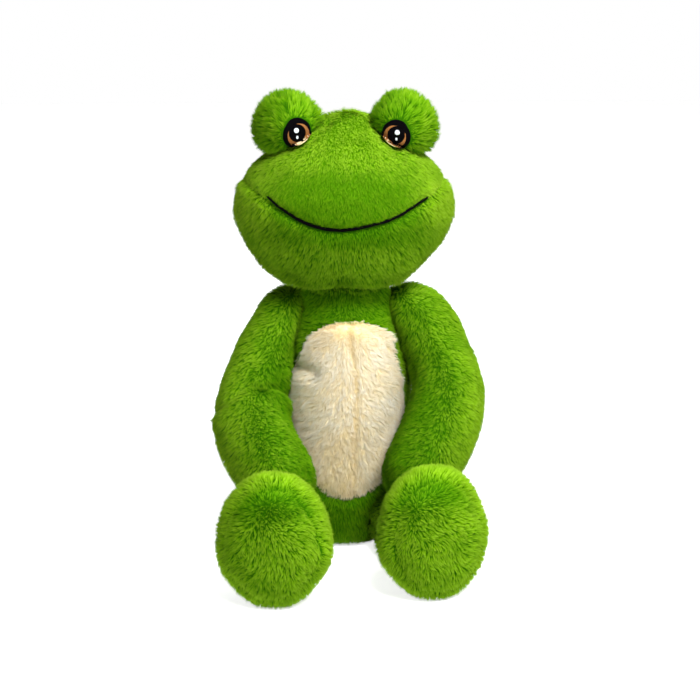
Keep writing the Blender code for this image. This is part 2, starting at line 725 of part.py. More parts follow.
def build_foot(side, torso):
    """Build a foot: a sole panel and an upper over fibre, seated on the ankle's ball."""
    ankle, ahead = leg_ends(side, torso)[1:]
    middle = ankle + ahead * FOOT_AHEAD
    turn = Vector((0.0, -1.0, 0.0)).rotation_difference(ahead).to_matrix()
    lean = Matrix.Rotation(math.radians(-FOOT_LEAN_DEG), 3, "X")

    def shape(point):
        toe = 1.0 + FOOT_TOE_SHARE * point.z
        around = math.hypot(point.x, point.z)
        front = -math.sqrt(max(0.0, 1.0 - around ** 3))
        depth = front if point.y < 0.0 else point.y
        return Vector((FOOT_HALF_WIDTH * toe * point.x, FOOT_HALF_DEPTH * depth, FOOT_HALF_HEIGHT * point.z))

    middle.z = -lowest(form(FOOT_SIDES, FOOT_RINGS, lambda p: turn @ lean @ shape(p))) - FLAT_DEPTH

    def place(point):
        return middle + turn @ lean @ shape(point)

    reach = FOOT_HALF_HEIGHT + FOOT_HALF_WIDTH + CUT_OVERRUN
    seam_place = middle + turn @ lean @ Vector((0.0, SOLE_DEPTH - FOOT_HALF_DEPTH, 0.0))
    normal = turn @ lean @ Vector((0.0, 1.0, 0.0))
    upper_half, sole_half = seam_halves(f"{side}_sole_seam", seam_place, normal, reach)
    seat = ball_outside(f"{side}_ankle_seat", ankle, ANKLE_RADIUS + TURN_GAP)
    ground = ground_cutter(f"{side}_heel_flat")
    green = material("green_plush", GREEN, 0.85)
    upper = add_object(f"{side}_foot_upper", hollow(form(FOOT_SIDES, FOOT_RINGS, place), CLOTH), green)
    boolean(upper, upper_half, "INTERSECT")
    boolean(upper, seat)
    sole = add_object(f"{side}_foot_sole", hollow(form(FOOT_SIDES, FOOT_RINGS, place), CLOTH), green)
    boolean(sole, sole_half, "INTERSECT")
    for panel in (upper, sole):
        boolean(panel, ground)
    filling = move_in(form(FOOT_SIDES, FOOT_RINGS, place), CLOTH + FILL_GAP)
    stuffing = add_object(f"{side}_foot_stuffing", filling, material("fibre", FIBRE, 0.95))
    boolean(stuffing, seat)
    return middle


def main():
    """Build the whole toy."""
    clear_scene()
    torso = Torso()
    torso.build()
    build_neck_seam(torso)
    Head(torso).build()
    for side in SIDES:
        build_leg(side, torso)
        foot = build_foot(side, torso)
        build_arm(side, torso, foot.y + FOOT_HALF_DEPTH + PAW_TO_FOOT + PAW_RADIUS)


main()
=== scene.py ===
"""Looks of a seated plush frog: stuffed skins, mesh pile, stitched eyes and mouth, studio and camera.

Each sub-assembly is sewn from copies of its packed cloth panels, swollen by a cloth simulation with its seams
held, creased where the photograph shows it, and covered with tufts of pile that lie the way the real ones do.
"""

import itertools
import json
import logging
import math
from dataclasses import dataclass, field
from enum import Enum
from typing import Any, Sequence

import bmesh
import bpy
import numpy as np
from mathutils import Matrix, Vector
from mathutils.bvhtree import BVHTree
from mathutils.kdtree import KDTree

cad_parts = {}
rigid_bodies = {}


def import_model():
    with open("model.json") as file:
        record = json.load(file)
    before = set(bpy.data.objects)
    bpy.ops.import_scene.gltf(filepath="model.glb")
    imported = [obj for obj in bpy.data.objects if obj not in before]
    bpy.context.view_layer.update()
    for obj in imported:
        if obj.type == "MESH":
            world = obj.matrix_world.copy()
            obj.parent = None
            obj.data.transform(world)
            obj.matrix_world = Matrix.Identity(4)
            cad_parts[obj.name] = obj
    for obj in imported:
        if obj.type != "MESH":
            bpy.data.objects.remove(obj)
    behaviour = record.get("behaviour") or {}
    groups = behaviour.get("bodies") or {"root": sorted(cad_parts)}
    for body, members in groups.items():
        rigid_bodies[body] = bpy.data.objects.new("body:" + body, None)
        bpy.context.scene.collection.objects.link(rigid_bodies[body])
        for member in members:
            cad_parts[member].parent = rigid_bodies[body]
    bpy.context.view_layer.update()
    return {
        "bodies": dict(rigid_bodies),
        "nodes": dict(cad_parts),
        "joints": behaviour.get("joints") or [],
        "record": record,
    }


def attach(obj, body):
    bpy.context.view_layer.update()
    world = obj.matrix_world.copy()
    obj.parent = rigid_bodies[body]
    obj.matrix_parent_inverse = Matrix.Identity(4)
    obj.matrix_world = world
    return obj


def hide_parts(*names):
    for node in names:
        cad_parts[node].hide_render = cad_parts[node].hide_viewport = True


Array = np.ndarray
Point = tuple[float, float, float]
Pixel = tuple[float, float]
Spot = tuple[Point, float, float]

MM = 0.001
PER_MM2 = 1e6
SEEDS_PER_FORM = 100
UP = Vector((0, 0, 1))
WELD = 0.05 * MM
WAVE_AT_SCALE_1 = 0.314
PILE_MAP = "pile"
BAKE_MAP = "OFBake"
STITCH_MAP = "stitches"
log = logging.getLogger("plush_frog")


# Finishes

def linear(colour: str) -> tuple[float, float, float, float]:
    """Turn an sRGB hex colour to linear RGBA.

    Args:
        colour: Six hex digits after a hash sign.

    Returns:
        Linear red, green, blue and an alpha of 1.
    """
    parts = [int(colour[i:i + 2], 16) / 255 for i in (1, 3, 5)]
    turned = [c / 12.92 if c <= 0.04045 else ((c + 0.055) / 1.055) ** 2.4 for c in parts]
    return turned[0], turned[1], turned[2], 1.0


def set_inputs(tree: bpy.types.NodeTree, node: bpy.types.Node, inputs: dict[int | str, Any]) -> None:
    """Give a node's inputs their values and links.

    Args:
        tree: The node's tree.
        node: The node.
        inputs: For each input, by name or number, a value or the output socket that feeds it.
    """
    for key, value in inputs.items():
        if isinstance(value, bpy.types.NodeSocket):
            tree.links.new(value, node.inputs[key])
        else:
            node.inputs[key].default_value = value


def add_node(tree: bpy.types.NodeTree, kind: str, settings: dict[str, Any] | None = None,
             inputs: dict[int | str, Any] | None = None,
             stops: Sequence[tuple[float, str]] = ()) -> bpy.types.Node:
    """Add one shader node with its settings, values and links.

    Args:
        tree: The node tree it joins.
        kind: Blender's name of the node type.
        settings: Values of the node's own properties.
        inputs: As set_inputs takes them.
        stops: Place and hex colour of each stop in order, where the node has a colour ramp.

    Returns:
        The new node.
    """
    node = tree.nodes.new(kind)
    for name, value in (settings or {}).items():
        setattr(node, name, value)
    set_inputs(tree, node, inputs or {})
    for _ in stops[2:]:
        node.color_ramp.elements.new(0.5)
    for number, (place, colour) in enumerate(stops):
        element = node.color_ramp.elements[number]
        element.position = place
        element.color = linear(colour)
    return node


def new_material(name: str) -> tuple[bpy.types.Material, bpy.types.NodeTree, bpy.types.Node]:
    """Make a node material.

    Args:
        name: The material's name.

    Returns:
        The material, its tree and its Principled shader.
    """
    material = bpy.data.materials.new(name)
    material.use_nodes = True
    tree = material.node_tree
    return material, tree, tree.nodes["Principled BSDF"]


@dataclass(frozen=True)
class PileFinish:
    """Brushed polyester plush pile: soft and matt, with painted shade darkening the roots and painted light
    paling the tips.

    The pile's own UV map holds each tuft's tone across and its root to tip upwards, so tufts differ from
    each other and each one lightens along its length. The tone mixes a shaded and a lit copy of the colours,
    as painted shade and painted light.
    """

    name: str
    shaded: tuple[str, str, str]
    lit: tuple[str, str, str]
    fuzz: str
    stops: tuple[float, float, float] = (0.05, 0.5, 0.95)
    roughness: float = 0.78
    specular: float = 0.03
    sheen: float = 0.12
    sheen_roughness: float = 0.35

    def build(self) -> bpy.types.Material:
        """Make the pile's material.

        Returns:
            The material.
        """
        material, tree, shader = new_material(self.name)
        tuft = add_node(tree, "ShaderNodeUVMap", {"uv_map": PILE_MAP})
        split = add_node(tree, "ShaderNodeSeparateXYZ", inputs={0: tuft.outputs[0]})
        tone, height = split.outputs[0], split.outputs[1]
        dark, pale = (
            add_node(tree, "ShaderNodeValToRGB", inputs={0: height}, stops=list(zip(self.stops, colours)))
            for colours in (self.shaded, self.lit)
        )
        mixed = add_node(tree, "ShaderNodeMix", {"data_type": "RGBA"},
                         {0: tone, 6: dark.outputs[0], 7: pale.outputs[0]})
        set_inputs(tree, shader, {
            "Base Color": mixed.outputs[2], "Roughness": self.roughness, "Specular IOR Level": self.specular,
            "Sheen Weight": self.sheen, "Sheen Roughness": self.sheen_roughness,
            "Sheen Tint": linear(self.fuzz),
        })
        return material


@dataclass(frozen=True)
class BackingFinish:
    """Knitted polyester backing cloth: fine ribs, seen only between tufts, so coloured dark as painted shade,
    as the gaps between tufts are.
    """

    name: str
    valley: str
    rib: str
    rib_spacing: float = 0.9 * MM
    distortion: float = 1.5
    roughness: float = 0.95
    specular: float = 0.03

    def build(self) -> bpy.types.Material:
        """Make the backing's material.

        Returns:
            The material.
        """
        material, tree, shader = new_material(self.name)
        place = add_node(tree, "ShaderNodeTexCoord")
        across, along = (
            add_node(tree, "ShaderNodeTexWave", {"bands_direction": way},
                     {"Vector": place.outputs["Object"], "Scale": WAVE_AT_SCALE_1 / self.rib_spacing,
                      "Distortion": self.distortion})
            for way in ("X", "Z")
        )
        ribs = add_node(tree, "ShaderNodeMath", {"operation": "MULTIPLY"},
                        {0: across.outputs[1], 1: along.outputs[1]})
        colour = add_node(tree, "ShaderNodeValToRGB", inputs={0: ribs.outputs[0]},
                          stops=[(0.0, self.valley), (1.0, self.rib)])
        set_inputs(tree, shader, {"Base Color": colour.outputs[0], "Roughness": self.roughness,
                                  "Specular IOR Level": self.specular})
        return material


@dataclass(frozen=True)
class ThreadFinish:
    """Satin-stitched rayon thread: close glossy strands, with a fine dark line of painted shade between one
    and the next.
    """

    name: str
    groove: str
    strand: str
    stops: tuple[float, float] = (0.05, 0.6)
    spacing: float = 0.55 * MM
    distortion: float = 0.6
    twist: float = 0.4
    relief: float = 0.2 * MM
    relief_strength: float = 0.7
    roughness: float = 0.75
    specular: float = 0.02

    def build(self) -> bpy.types.Material:
        """Make the thread's material.

        Returns:
            The material.
        """
        material, tree, shader = new_material(self.name)
        across = add_node(tree, "ShaderNodeUVMap", {"uv_map": STITCH_MAP})
        strands = add_node(tree, "ShaderNodeTexWave", {"bands_direction": "X"},
                           {"Vector": across.outputs[0], "Scale": WAVE_AT_SCALE_1 / self.spacing,
                            "Distortion": self.distortion, "Detail": 1.0,
                            "Detail Scale": self.twist / self.spacing})
        colour = add_node(tree, "ShaderNodeValToRGB", inputs={0: strands.outputs[1]},
                          stops=list(zip(self.stops, (self.groove, self.strand))))
        raised = add_node(tree, "ShaderNodeBump", inputs={
            "Height": strands.outputs[1], "Distance": self.relief, "Strength": self.relief_strength})
        set_inputs(tree, shader, {"Base Color": colour.outputs[0], "Normal": raised.outputs[0],
                                  "Roughness": self.roughness, "Specular IOR Level": self.specular})
        return material


class Finish(Enum):
    """Every finish on the toy."""

    # Each pile has a shaded and a lit copy of its colours, painted shade and painted light that the tufts'
    # tone mixes.
    GREEN_PILE = PileFinish("green_plush_pile", ("#1E4A00", "#427C00", "#6A9C0E"),
                            ("#407200", "#76A808", "#A2CC34"), "#94D024")
    CREAM_PILE = PileFinish("cream_plush_pile", ("#B49C5C", "#EAD49C", "#FFECC4"),
                            ("#E4CE98", "#FFF6DA", "#FFFFF8"), "#FFF4DC")
    # Backings carry painted shade for the gaps between tufts; the face's is lighter, for less contrast there.
    GREEN_BACKING = BackingFinish("green_knit_backing", "#224E00", "#346800")
    FACE_BACKING = BackingFinish("pale_green_knit_backing", "#386800", "#4A7C00")
    CREAM_BACKING = BackingFinish("cream_knit_backing", "#E0CC9C", "#F8E8C4")
    BLACK_THREAD = ThreadFinish("black_rayon_thread", "#010101", "#050406")
    BROWN_THREAD = ThreadFinish("brown_rayon_thread", "#5E3A1E", "#A8713F")
    PALE_THREAD = ThreadFinish("cream_rayon_thread", "#CCB080", "#F6E0B4")
    WHITE_THREAD = ThreadFinish("white_rayon_thread", "#AEBAC2", "#F4FAFF")


class MaterialRack:
    """Builds each finish's material once and hands it out."""

    def __init__(self) -> None:
        """Start with no material made."""
        self._made: dict[Finish, bpy.types.Material] = {}

    def get(self, finish: Finish) -> bpy.types.Material:
        """Return the one material of a finish.

        Args:
            finish: The finish.

        Returns:
            Its material, made at the first call.
        """
        if finish not in self._made:
            self._made[finish] = finish.value.build()
        return self._made[finish]


# Mesh helpers

def choose_only(*chosen: bpy.types.Object) -> None:
    """Deselect everything, then select the chosen objects and make the first of them active.

    Args:
        chosen: The objects; none before a primitive is added.
    """
    bpy.ops.object.select_all(action="DESELECT")
    for obj in chosen:
        obj.select_set(True)
    if chosen:
        bpy.context.view_layer.objects.active = chosen[0]


def apply_modifier(obj: bpy.types.Object, kind: str, settings: dict[str, Any]) -> None:
    """Add one modifier with its settings and apply it.

    Args:
        obj: The object that it shapes.
        kind: Blender's name of the modifier type.
        settings: Values of the modifier's own properties.
    """
    modifier = obj.modifiers.new(kind.lower(), kind)
    for name, value in settings.items():
        setattr(modifier, name, value)
    choose_only(obj)
    bpy.ops.object.modifier_apply(modifier=modifier.name)


def add_object(name: str, data: bpy.types.ID, place: Vector | Point = (0, 0, 0),
               way: Vector | None = None) -> bpy.types.Object:
    """Add an object to the scene.

    Args:
        name: The object's name.
        data: Its mesh, lamp or camera.
        place: Where it stands.
        way: The way that a lamp or camera looks.

    Returns:
        The new object.
    """
    obj = bpy.data.objects.new(name, data)
    obj.location = place
    if way is not None:
        obj.rotation_mode = "QUATERNION"
        obj.rotation_quaternion = way.to_track_quat("-Z", "Y")
    bpy.context.scene.collection.objects.link(obj)
    return obj


def read(items: bpy.types.bpy_prop_collection, name: str, width: int = 3, kind: type = np.float32) -> Array:
    """Read one property of all items of a mesh.

    Args:
        items: The mesh's vertices, loops, triangles or polygons.
        name: The property.
        width: How many numbers it has in each item.
        kind: The numbers' type.

    Returns:
        One row for each item, or one number where the width is 1.
    """
    flat = np.empty(len(items) * width, kind)
    items.foreach_get(name, flat)
    return flat.reshape(-1, width) if width > 1 else flat


def points_of(obj: bpy.types.Object) -> Array:
    """Return the vertices of obj as rows."""
    return read(obj.data.vertices, "co").astype(float)


def normals_of(obj: bpy.types.Object) -> Array:
    """Return the vertex normals of obj as rows."""
    return read(obj.data.vertex_normals, "vector").astype(float)


def triangles_of(obj: bpy.types.Object) -> Array:
    """Return the vertex numbers of obj's triangles as rows."""
    obj.data.calc_loop_triangles()
    return read(obj.data.loop_triangles, "vertices", kind=np.int32)


def corners_of(obj: bpy.types.Object) -> Array:
    """Return the vertex number of each of obj's face corners."""
    return read(obj.data.loops, "vertex_index", 1, np.int32)


def move_points(obj: bpy.types.Object, points: Array) -> None:
    """Write the vertices of obj."""
    obj.data.vertices.foreach_set("co", points.astype(np.float32).ravel())
    obj.data.update()


def write_map(mesh: bpy.types.Mesh, name: str, places: Array) -> None:
    """Give a mesh a UV map with one place for each face corner."""
    mesh.uv_layers.new(name=name).uv.foreach_set("vector", places.astype(np.float32).ravel())


def tree_of(*objects: bpy.types.Object) -> BVHTree:
    """Make one search tree of some objects' triangles.

    Args:
        objects: The objects.

    Returns:
        The search tree.
    """
    places, faces, start = [], [], 0
    for obj in objects:
        points = points_of(obj)
        places.extend(points.tolist())
        faces.extend((triangles_of(obj) + start).tolist())
        start += len(points)
    return BVHTree.FromPolygons(places, faces)


def units(rows: Array) -> Array:
    """Return the rows at length 1."""
    return rows / np.maximum(np.linalg.norm(rows, axis=1), 1e-9)[:, None]


def bump(distance: Array, width: float) -> Array:
    """Return a smooth hill of height 1 that fades out over the width."""
    return np.exp(-((distance / width) ** 2))


def ramp(values: Array, start: float, reach: float) -> Array:
    """Return 0 up to start and 1 from a reach further on, or the other way round for a reach below 0."""
    return np.clip((values - start) / reach, 0, 1)


class PointCloud:
    """Points that others measure their distance to, such as a seam line's."""

    NOWHERE = 1.0

    def __init__(self, points: Array) -> None:
        """Keep the points.

        Args:
            points: Rows of places.
        """
        self.points = np.asarray(points, float).reshape(-1, 3)
        self.tree = KDTree(max(1, len(self.points)))
        for i, place in enumerate(self.points.tolist()):
            self.tree.insert(place, i)
        self.tree.balance()

    def nearest(self, places: Array) -> tuple[Array, Array]:
        """Find the nearest kept point to each place.

        Args:
            places: Rows of places.

        Returns:
            The distances, and the nearest points' numbers. With no points, all are far and 0.
        """
        if not len(self.points):
            return np.full(len(places), self.NOWHERE), np.zeros(len(places), int)
        found = [self.tree.find(place)[1:] for place in places.tolist()]
        number, distance = zip(*found)
        return np.array(distance), np.array(number, int)


def distance_to(line: Array, places: Array) -> Array:
    """Return how far each place is from the nearest point of a line."""
    return PointCloud(line).nearest(places)[0]


class Drift:
    """Smooth seeded noise that is read at places in space."""

    CELLS = 32

    def __init__(self, seed: int, size: float) -> None:
        """Fill the lattice.

        Args:
            seed: The noise's own seed.
            size: Distance between lattice points.
        """
        self.size = size
        self.lattice = np.random.default_rng(seed).uniform(-1, 1, (self.CELLS,) * 3 + (3,))

    def at(self, places: Array) -> Array:
        """Read the noise.

        Args:
            places: Rows of places.

        Returns:
            A smooth random vector from -1 to 1 for each place.
        """
        cell = places / self.size
        low = np.floor(cell).astype(int)
        part = cell - low
        part = part * part * (3 - 2 * part)
        total = np.zeros((len(places), 3))
        for corner in itertools.product((0, 1), repeat=3):
            weight = np.prod(np.where(corner, part, 1 - part), axis=1)
            i, j, k = ((low + corner) % self.CELLS).T
            total += weight[:, None] * self.lattice[i, j, k]
        return total


# Camera and studio

@dataclass(frozen=True)
class Viewpoint:
    """The photograph's viewpoint: a little above the toy and to its own right."""

    azimuth_deg: float = -4.0
    elevation_deg: float = 12.5
    target: Point = (0.003, -0.040, 0.176)
    distance: float = 1.35
    focal_px: float = 1590.0
    frame_px: float = 700.0
    sensor_mm: float = 36.0
    clip: tuple[float, float] = (0.05, 20.0)

    def back(self) -> Vector:
        """Return the direction from the target to the camera."""
        a, e = math.radians(self.azimuth_deg), math.radians(self.elevation_deg)
        return Vector((math.sin(a) * math.cos(e), -math.cos(a) * math.cos(e), math.sin(e)))

    def place(self) -> Vector:
        """Return the camera's place."""
        return Vector(self.target) + self.back() * self.distance

    def axes(self) -> tuple[Vector, Vector, Vector]:
        """Find the camera's own directions.

        Returns:
            The directions ahead of it, to its right and up.
        """
        ahead = -self.back()
        right = ahead.cross(UP).normalized()
        return ahead, right, right.cross(ahead)

    def hit(self, surface: BVHTree, pixel: Pixel) -> tuple[Vector | None, Vector | None]:
        """Find what a pixel of the photograph shows of a surface.

        Args:
            surface: The surface's search tree.
            pixel: The pixel's column and row.

        Returns:
            The place and the normal there, or nothing twice where the pixel misses the surface.
        """
        ahead, right, up = self.axes()
        across, down = ((value - self.frame_px / 2) / self.focal_px for value in pixel)
        return surface.ray_cast(self.place(), (ahead + right * across + up * -down).normalized())[:2]

    def pixels(self, places: Array) -> Array:
        """Return the photograph's column and row at which each place is seen.

        Args:
            places: Rows of places.

        Returns:
            A row of two numbers for each place.
        """
        off = places - np.array(self.place())
        ahead, right, up = (off @ np.array(axis) for axis in self.axes())
        middle = self.frame_px / 2
        return np.stack([middle + self.focal_px * right / ahead, middle - self.focal_px * up / ahead], axis=1)

    def land(self, surface: BVHTree, pixels: Sequence[Pixel], step: float = 1.0 * MM) -> Array:
        """Find where a line drawn over the photograph lies on a surface.

        Args:
            surface: The surface's search tree.
            pixels: The line's corners, in the photograph's pixels.
            step: Distance between the points that are tried.

        Returns:
            Rows of places on the surface; pixels that miss it are left out.
        """
        scale = self.distance / self.focal_px
        found = []
        for (x0, y0), (x1, y1) in zip(pixels, pixels[1:]):
            count = max(1, round(math.hypot(x1 - x0, y1 - y0) * scale / step))
            for i in range(count + 1):
                share = i / count
                place = self.hit(surface, (x0 + (x1 - x0) * share, y0 + (y1 - y0) * share))[0]
                if place is not None:
                    found.append(tuple(place))
        return np.array(found).reshape(-1, 3)

    def build(self) -> None:
        """Create the camera and make it the scene's."""
        data = bpy.data.cameras.new("photo_camera")
        data.sensor_width = self.sensor_mm
        data.lens = self.focal_px / self.frame_px * self.sensor_mm
        data.clip_start, data.clip_end = self.clip
        bpy.context.scene.camera = add_object("photo_camera", data, self.place(), -self.back())
        log.info("photo_camera: %.0f mm lens at %s", data.lens, tuple(round(c, 3) for c in self.place()))


@dataclass(frozen=True)
class Lamp:
    """One soft box lamp that looks at the toy."""

    name: str
    place: Point
    size: float
    watts: float
    colour: str = "#FFFFFF"
    aim: Point = (0.0, -0.05, 0.18)

    def build(self) -> None:
        """Create the lamp."""
        data = bpy.data.lights.new(self.name, "AREA")
        data.shape = "SQUARE"
        data.size = self.size
        data.energy = self.watts
        data.color = linear(self.colour)[:3]
        add_object(self.name, data, self.place, Vector(self.aim) - Vector(self.place))


@dataclass(frozen=True)
class Studio:
    """A plain white studio: a pale floor that keeps the toy's shadow, a white surround and soft lamps."""

    white: str = "#FFFFFF"
    surround: float = 0.12
    seen_surround: float = 1.0
    floor_size: float = 12.0
    floor_colour: str = "#F4F4F2"
    floor_roughness: float = 0.9
    floor_glow: float = 0.8
    lamps: tuple[Lamp, ...] = (
        Lamp("key_softbox", (0.4, -1.38, 1.75), 0.8, 84.0),
        Lamp("top_softbox", (0.1, -0.1, 1.9), 1.2, 4.0),
        Lamp("fill_softbox", (1.5, -1.3, 0.7), 1.2, 7.0),
        Lamp("back_softbox", (0.4, 1.7, 1.2), 1.2, 16.0),
    )

    def build(self) -> None:
        """Create the surround, the lamps and the floor."""
        scene = bpy.context.scene
        scene.view_settings.view_transform = "Standard"
        self._surround(scene)
        for lamp in self.lamps:
            lamp.build()
        self._floor()
        log.info("studio: %d lamps", len(self.lamps))

    def _surround(self, scene: bpy.types.Scene) -> None:
        """Light from all round, and plain white where the camera or a reflection sees it.

        Args:
            scene: The scene that it surrounds.
        """
        world = bpy.data.worlds.new("studio_surround")
        world.use_nodes = True
        scene.world = world
        tree = world.node_tree
        strength = self._seen(tree, self.surround, self.seen_surround)
        set_inputs(tree, tree.nodes["Background"], {"Color": linear(self.white), "Strength": strength})

    def _seen(self, tree: bpy.types.NodeTree, unseen: float, seen: float) -> bpy.types.NodeSocket:
        """Tell what is seen from what only lights.

        Args:
            tree: The node tree that asks.
            unseen: The value for what only lights.
            seen: The value for what the camera sees, also in a reflection or through glass.

        Returns:
            A socket with the one value or the other.
        """
        path = add_node(tree, "ShaderNodeLightPath")
        either = path.outputs["Is Camera Ray"]
        for ray in ("Is Glossy Ray", "Is Transmission Ray"):
            either = add_node(tree, "ShaderNodeMath", {"operation": "MAXIMUM"},
                              {0: either, 1: path.outputs[ray]}).outputs[0]
        return add_node(tree, "ShaderNodeMapRange", inputs={0: either, 3: unseen, 4: seen}).outputs[0]

    def _floor(self) -> None:
        """Make the floor, which is no part of the toy."""
        choose_only()
        bpy.ops.mesh.primitive_plane_add(size=self.floor_size)
        floor = bpy.context.object
        floor.name = "studio_floor"
        material, tree, shader = new_material("matt_white_floor")
        set_inputs(tree, shader, {
            "Base Color": linear(self.floor_colour), "Roughness": self.floor_roughness,
            "Emission Color": linear(self.white), "Emission Strength": self._seen(tree, 0.0, self.floor_glow),
        })
        floor.data.materials.append(material)


# Pile

@dataclass(frozen=True)
class PileCut:
    """How one panel's pile is cut and brushed.

    lean is the angle between a tuft and the surface's normal, lock the distance between the tips to which
    neighbouring tufts gather, and wander how far the brushing strays from its flow. lock_tone and lock_length
    say how much one lock differs from the next, lock_tone as painted light and shade between locks, crisp how
    far a tuft's own roundness shows, and root_shade where on the way from a root dark with painted shade to a
    tip pale with painted light a tuft's colour starts.
    """

    length: float = 5.4 * MM
    width: float = 0.72 * MM
    per_mm2: float = 1.4
    lean_deg: float = 46.0
    lock: float = 2.5 * MM
    gather: float = 0.45
    lock_tone: float = 0.16
    lock_length: float = 0.16
    wander: float = 0.45
    wander_size: float = 6.0 * MM
    patch_size: float = 13.0 * MM
    sunk: float = 0.7 * MM
    crisp: float = 0.6
    root_shade: float = 0.04


@dataclass
class Coat:
    """The roots of one panel's tufts, with how each of them lies."""

    roots: Array
    normals: Array
    flow: Array
    brushed: Array
    share: Array
    tone: Array
    room: Array
    seam_distance: Array
    seam_away: Array

    def kept(self, mask: Array) -> "Coat":
        """Return the coat with only the tufts that the mask names."""
        return Coat(*(getattr(self, name)[mask] for name in self.__dataclass_fields__))


class PileMaker:
    """Grows closed three-sided tufts from their roots and makes one mesh of them.

    The first constants say how many tones the map holds side by side, where a tuft's corners lie across one,
    and how much tone varies over a patch, within a lock and from tuft to tuft: a random mix of the shaded and
    lit colours that paints the light and shade of fur brushed different ways. The next ones say how tufts
    stray, part at a seam and differ in size, and the last ones what keeps them off the cloth and the floor.
    """

    TONES = 64
    ACROSS_TONE = (0.1, 0.9, 0.5, 0.5)
    MIDDLE_TONE = 0.5
    PATCH_TONE = 0.24
    FINE_TONE = 0.12
    TUFT_TONE = 0.12

    FINE_STRAY = 0.5
    TUFT_STRAY = 0.12
    LEAN_STRAY_DEG = 7
    SEAM_REACH = 2.5 * MM
    SEAM_CALM = 0.5
    SEAM_PART = 0.6
    SEAM_SHORT = 0.3
    LENGTHS = (0.8, 1.1)
    WIDTHS = (0.75, 1.25)
    GATHERS = (0.4, 1.3)

    LEAST_RISE = 0.03
    LEAST_OUT = 0.06
    FLOOR_GAP = 0.3 * MM
    STEEPEST = (-1, 0.5)

    def __init__(self, cut: PileCut, seed: int) -> None:
        """Keep the cut.

        Args:
            cut: How the pile is cut and brushed.
            seed: The panel's own seed.
        """
        self.cut = cut
        self.rng = np.random.default_rng(seed)
        self.wander = Drift(seed + 1, cut.wander_size)
        self.fine = Drift(seed + 2, cut.lock)
        self.patches = Drift(seed + 3, cut.patch_size)

    def grow(self, name: str, coat: Coat, material: bpy.types.Material) -> bpy.types.Object:
        """Make the pile's object.

        Args:
            name: The piece's name.
            coat: The tufts' roots and how they lie.
            material: The pile's material.

        Returns:
            The new object, linked to the scene.
        """
        cut, count = self.cut, len(coat.roots)
        leaders, lock = self._locks(coat.roots)
        axis, length = self._lie(coat, leaders, lock)
        places, facing = self._tufts(coat, axis, length)
        # tone picks between the shaded and lit colours: the form's painted light and shade, with random
        # patches, locks and tufts on top
        tone = coat.tone + self.PATCH_TONE * self.patches.at(coat.roots)[:, 0]
        tone = tone + self.FINE_TONE * self.fine.at(coat.roots)[:, 1]
        tone += (self.rng.normal(self.MIDDLE_TONE, self.TUFT_TONE, count)
                 + cut.lock_tone * self.rng.uniform(-1, 1, len(leaders))[lock])
        cells = np.clip(tone * self.TONES, 0, self.TONES - 1).astype(int)
        mesh = self._mesh(name, places, facing, cells)
        mesh.materials.append(material)
        log.info("%s: %d tufts, %d triangles, %.1f mm long", name, count, 4 * count, cut.length / MM)
        return add_object(name, mesh)

    def _locks(self, roots: Array) -> tuple[Array, Array]:
        """Choose the tufts that lead a lock.

        Args:
            roots: Rows of places.

        Returns:
            The leaders' numbers, and for each tuft which of them it follows.
        """
        chance = 1 / PER_MM2 / (self.cut.per_mm2 * self.cut.lock ** 2)
        leaders = np.flatnonzero(self.rng.random(len(roots)) < chance)
        if not len(leaders):
            leaders = np.array([0])
        return leaders, PointCloud(roots[leaders]).nearest(roots)[1]

    def _lie(self, coat: Coat, leaders: Array, lock: Array) -> tuple[Array, Array]:
        """Lay each tuft with its flow and its lock, above the cloth and the floor.

        Args:
            coat: The tufts' roots.
            leaders: The tufts that lead a lock.
            lock: Which leader each tuft follows.

        Returns:
            Each tuft's direction and length.
        """
        cut, count = self.cut, len(coat.roots)
        stray = self.wander.at(coat.roots) + self.FINE_STRAY * self.fine.at(coat.roots)
        way = coat.flow + cut.wander * stray + self.rng.normal(0, self.TUFT_STRAY, (count, 3))
        near_seam = bump(coat.seam_distance, self.SEAM_REACH)[:, None]
        way = way * (1 - self.SEAM_CALM * near_seam) + self.SEAM_PART * coat.seam_away * near_seam
        way = units(way - np.sum(way * coat.normals, axis=1)[:, None] * coat.normals)

        length = cut.length * coat.share * self.rng.uniform(*self.LENGTHS, count)
        length *= 1 + cut.lock_length * self.rng.uniform(-1, 1, len(leaders))[lock]
        length *= 1 - self.SEAM_SHORT * near_seam[:, 0]
        lean = np.radians(cut.lean_deg * coat.brushed + self.rng.normal(0, self.LEAN_STRAY_DEG, count))
        rise = np.minimum(np.cos(lean), np.clip(coat.room / length, self.LEAST_RISE, 1.0))
        axis = rise[:, None] * coat.normals + np.sqrt(1 - rise ** 2)[:, None] * way

        tips = coat.roots + axis * length[:, None]
        gather = (cut.gather * self.rng.uniform(*self.GATHERS, count))[:, None]
        tips = tips * (1 - gather) + tips[leaders][lock] * gather
        axis = units(tips - coat.roots)
        dip = np.minimum(np.sum(axis * coat.normals, axis=1) - self.LEAST_OUT, 0)
        axis = units(axis - dip[:, None] * coat.normals)

        steepest = np.clip((self.FLOOR_GAP - coat.roots[:, 2]) / length, *self.STEEPEST)
        level = np.where(axis[:, 2] < steepest, steepest, axis[:, 2])
        flat = units(axis[:, :2] + 1e-6) * np.sqrt(1 - level ** 2)[:, None]
        return np.column_stack([flat, level]), length

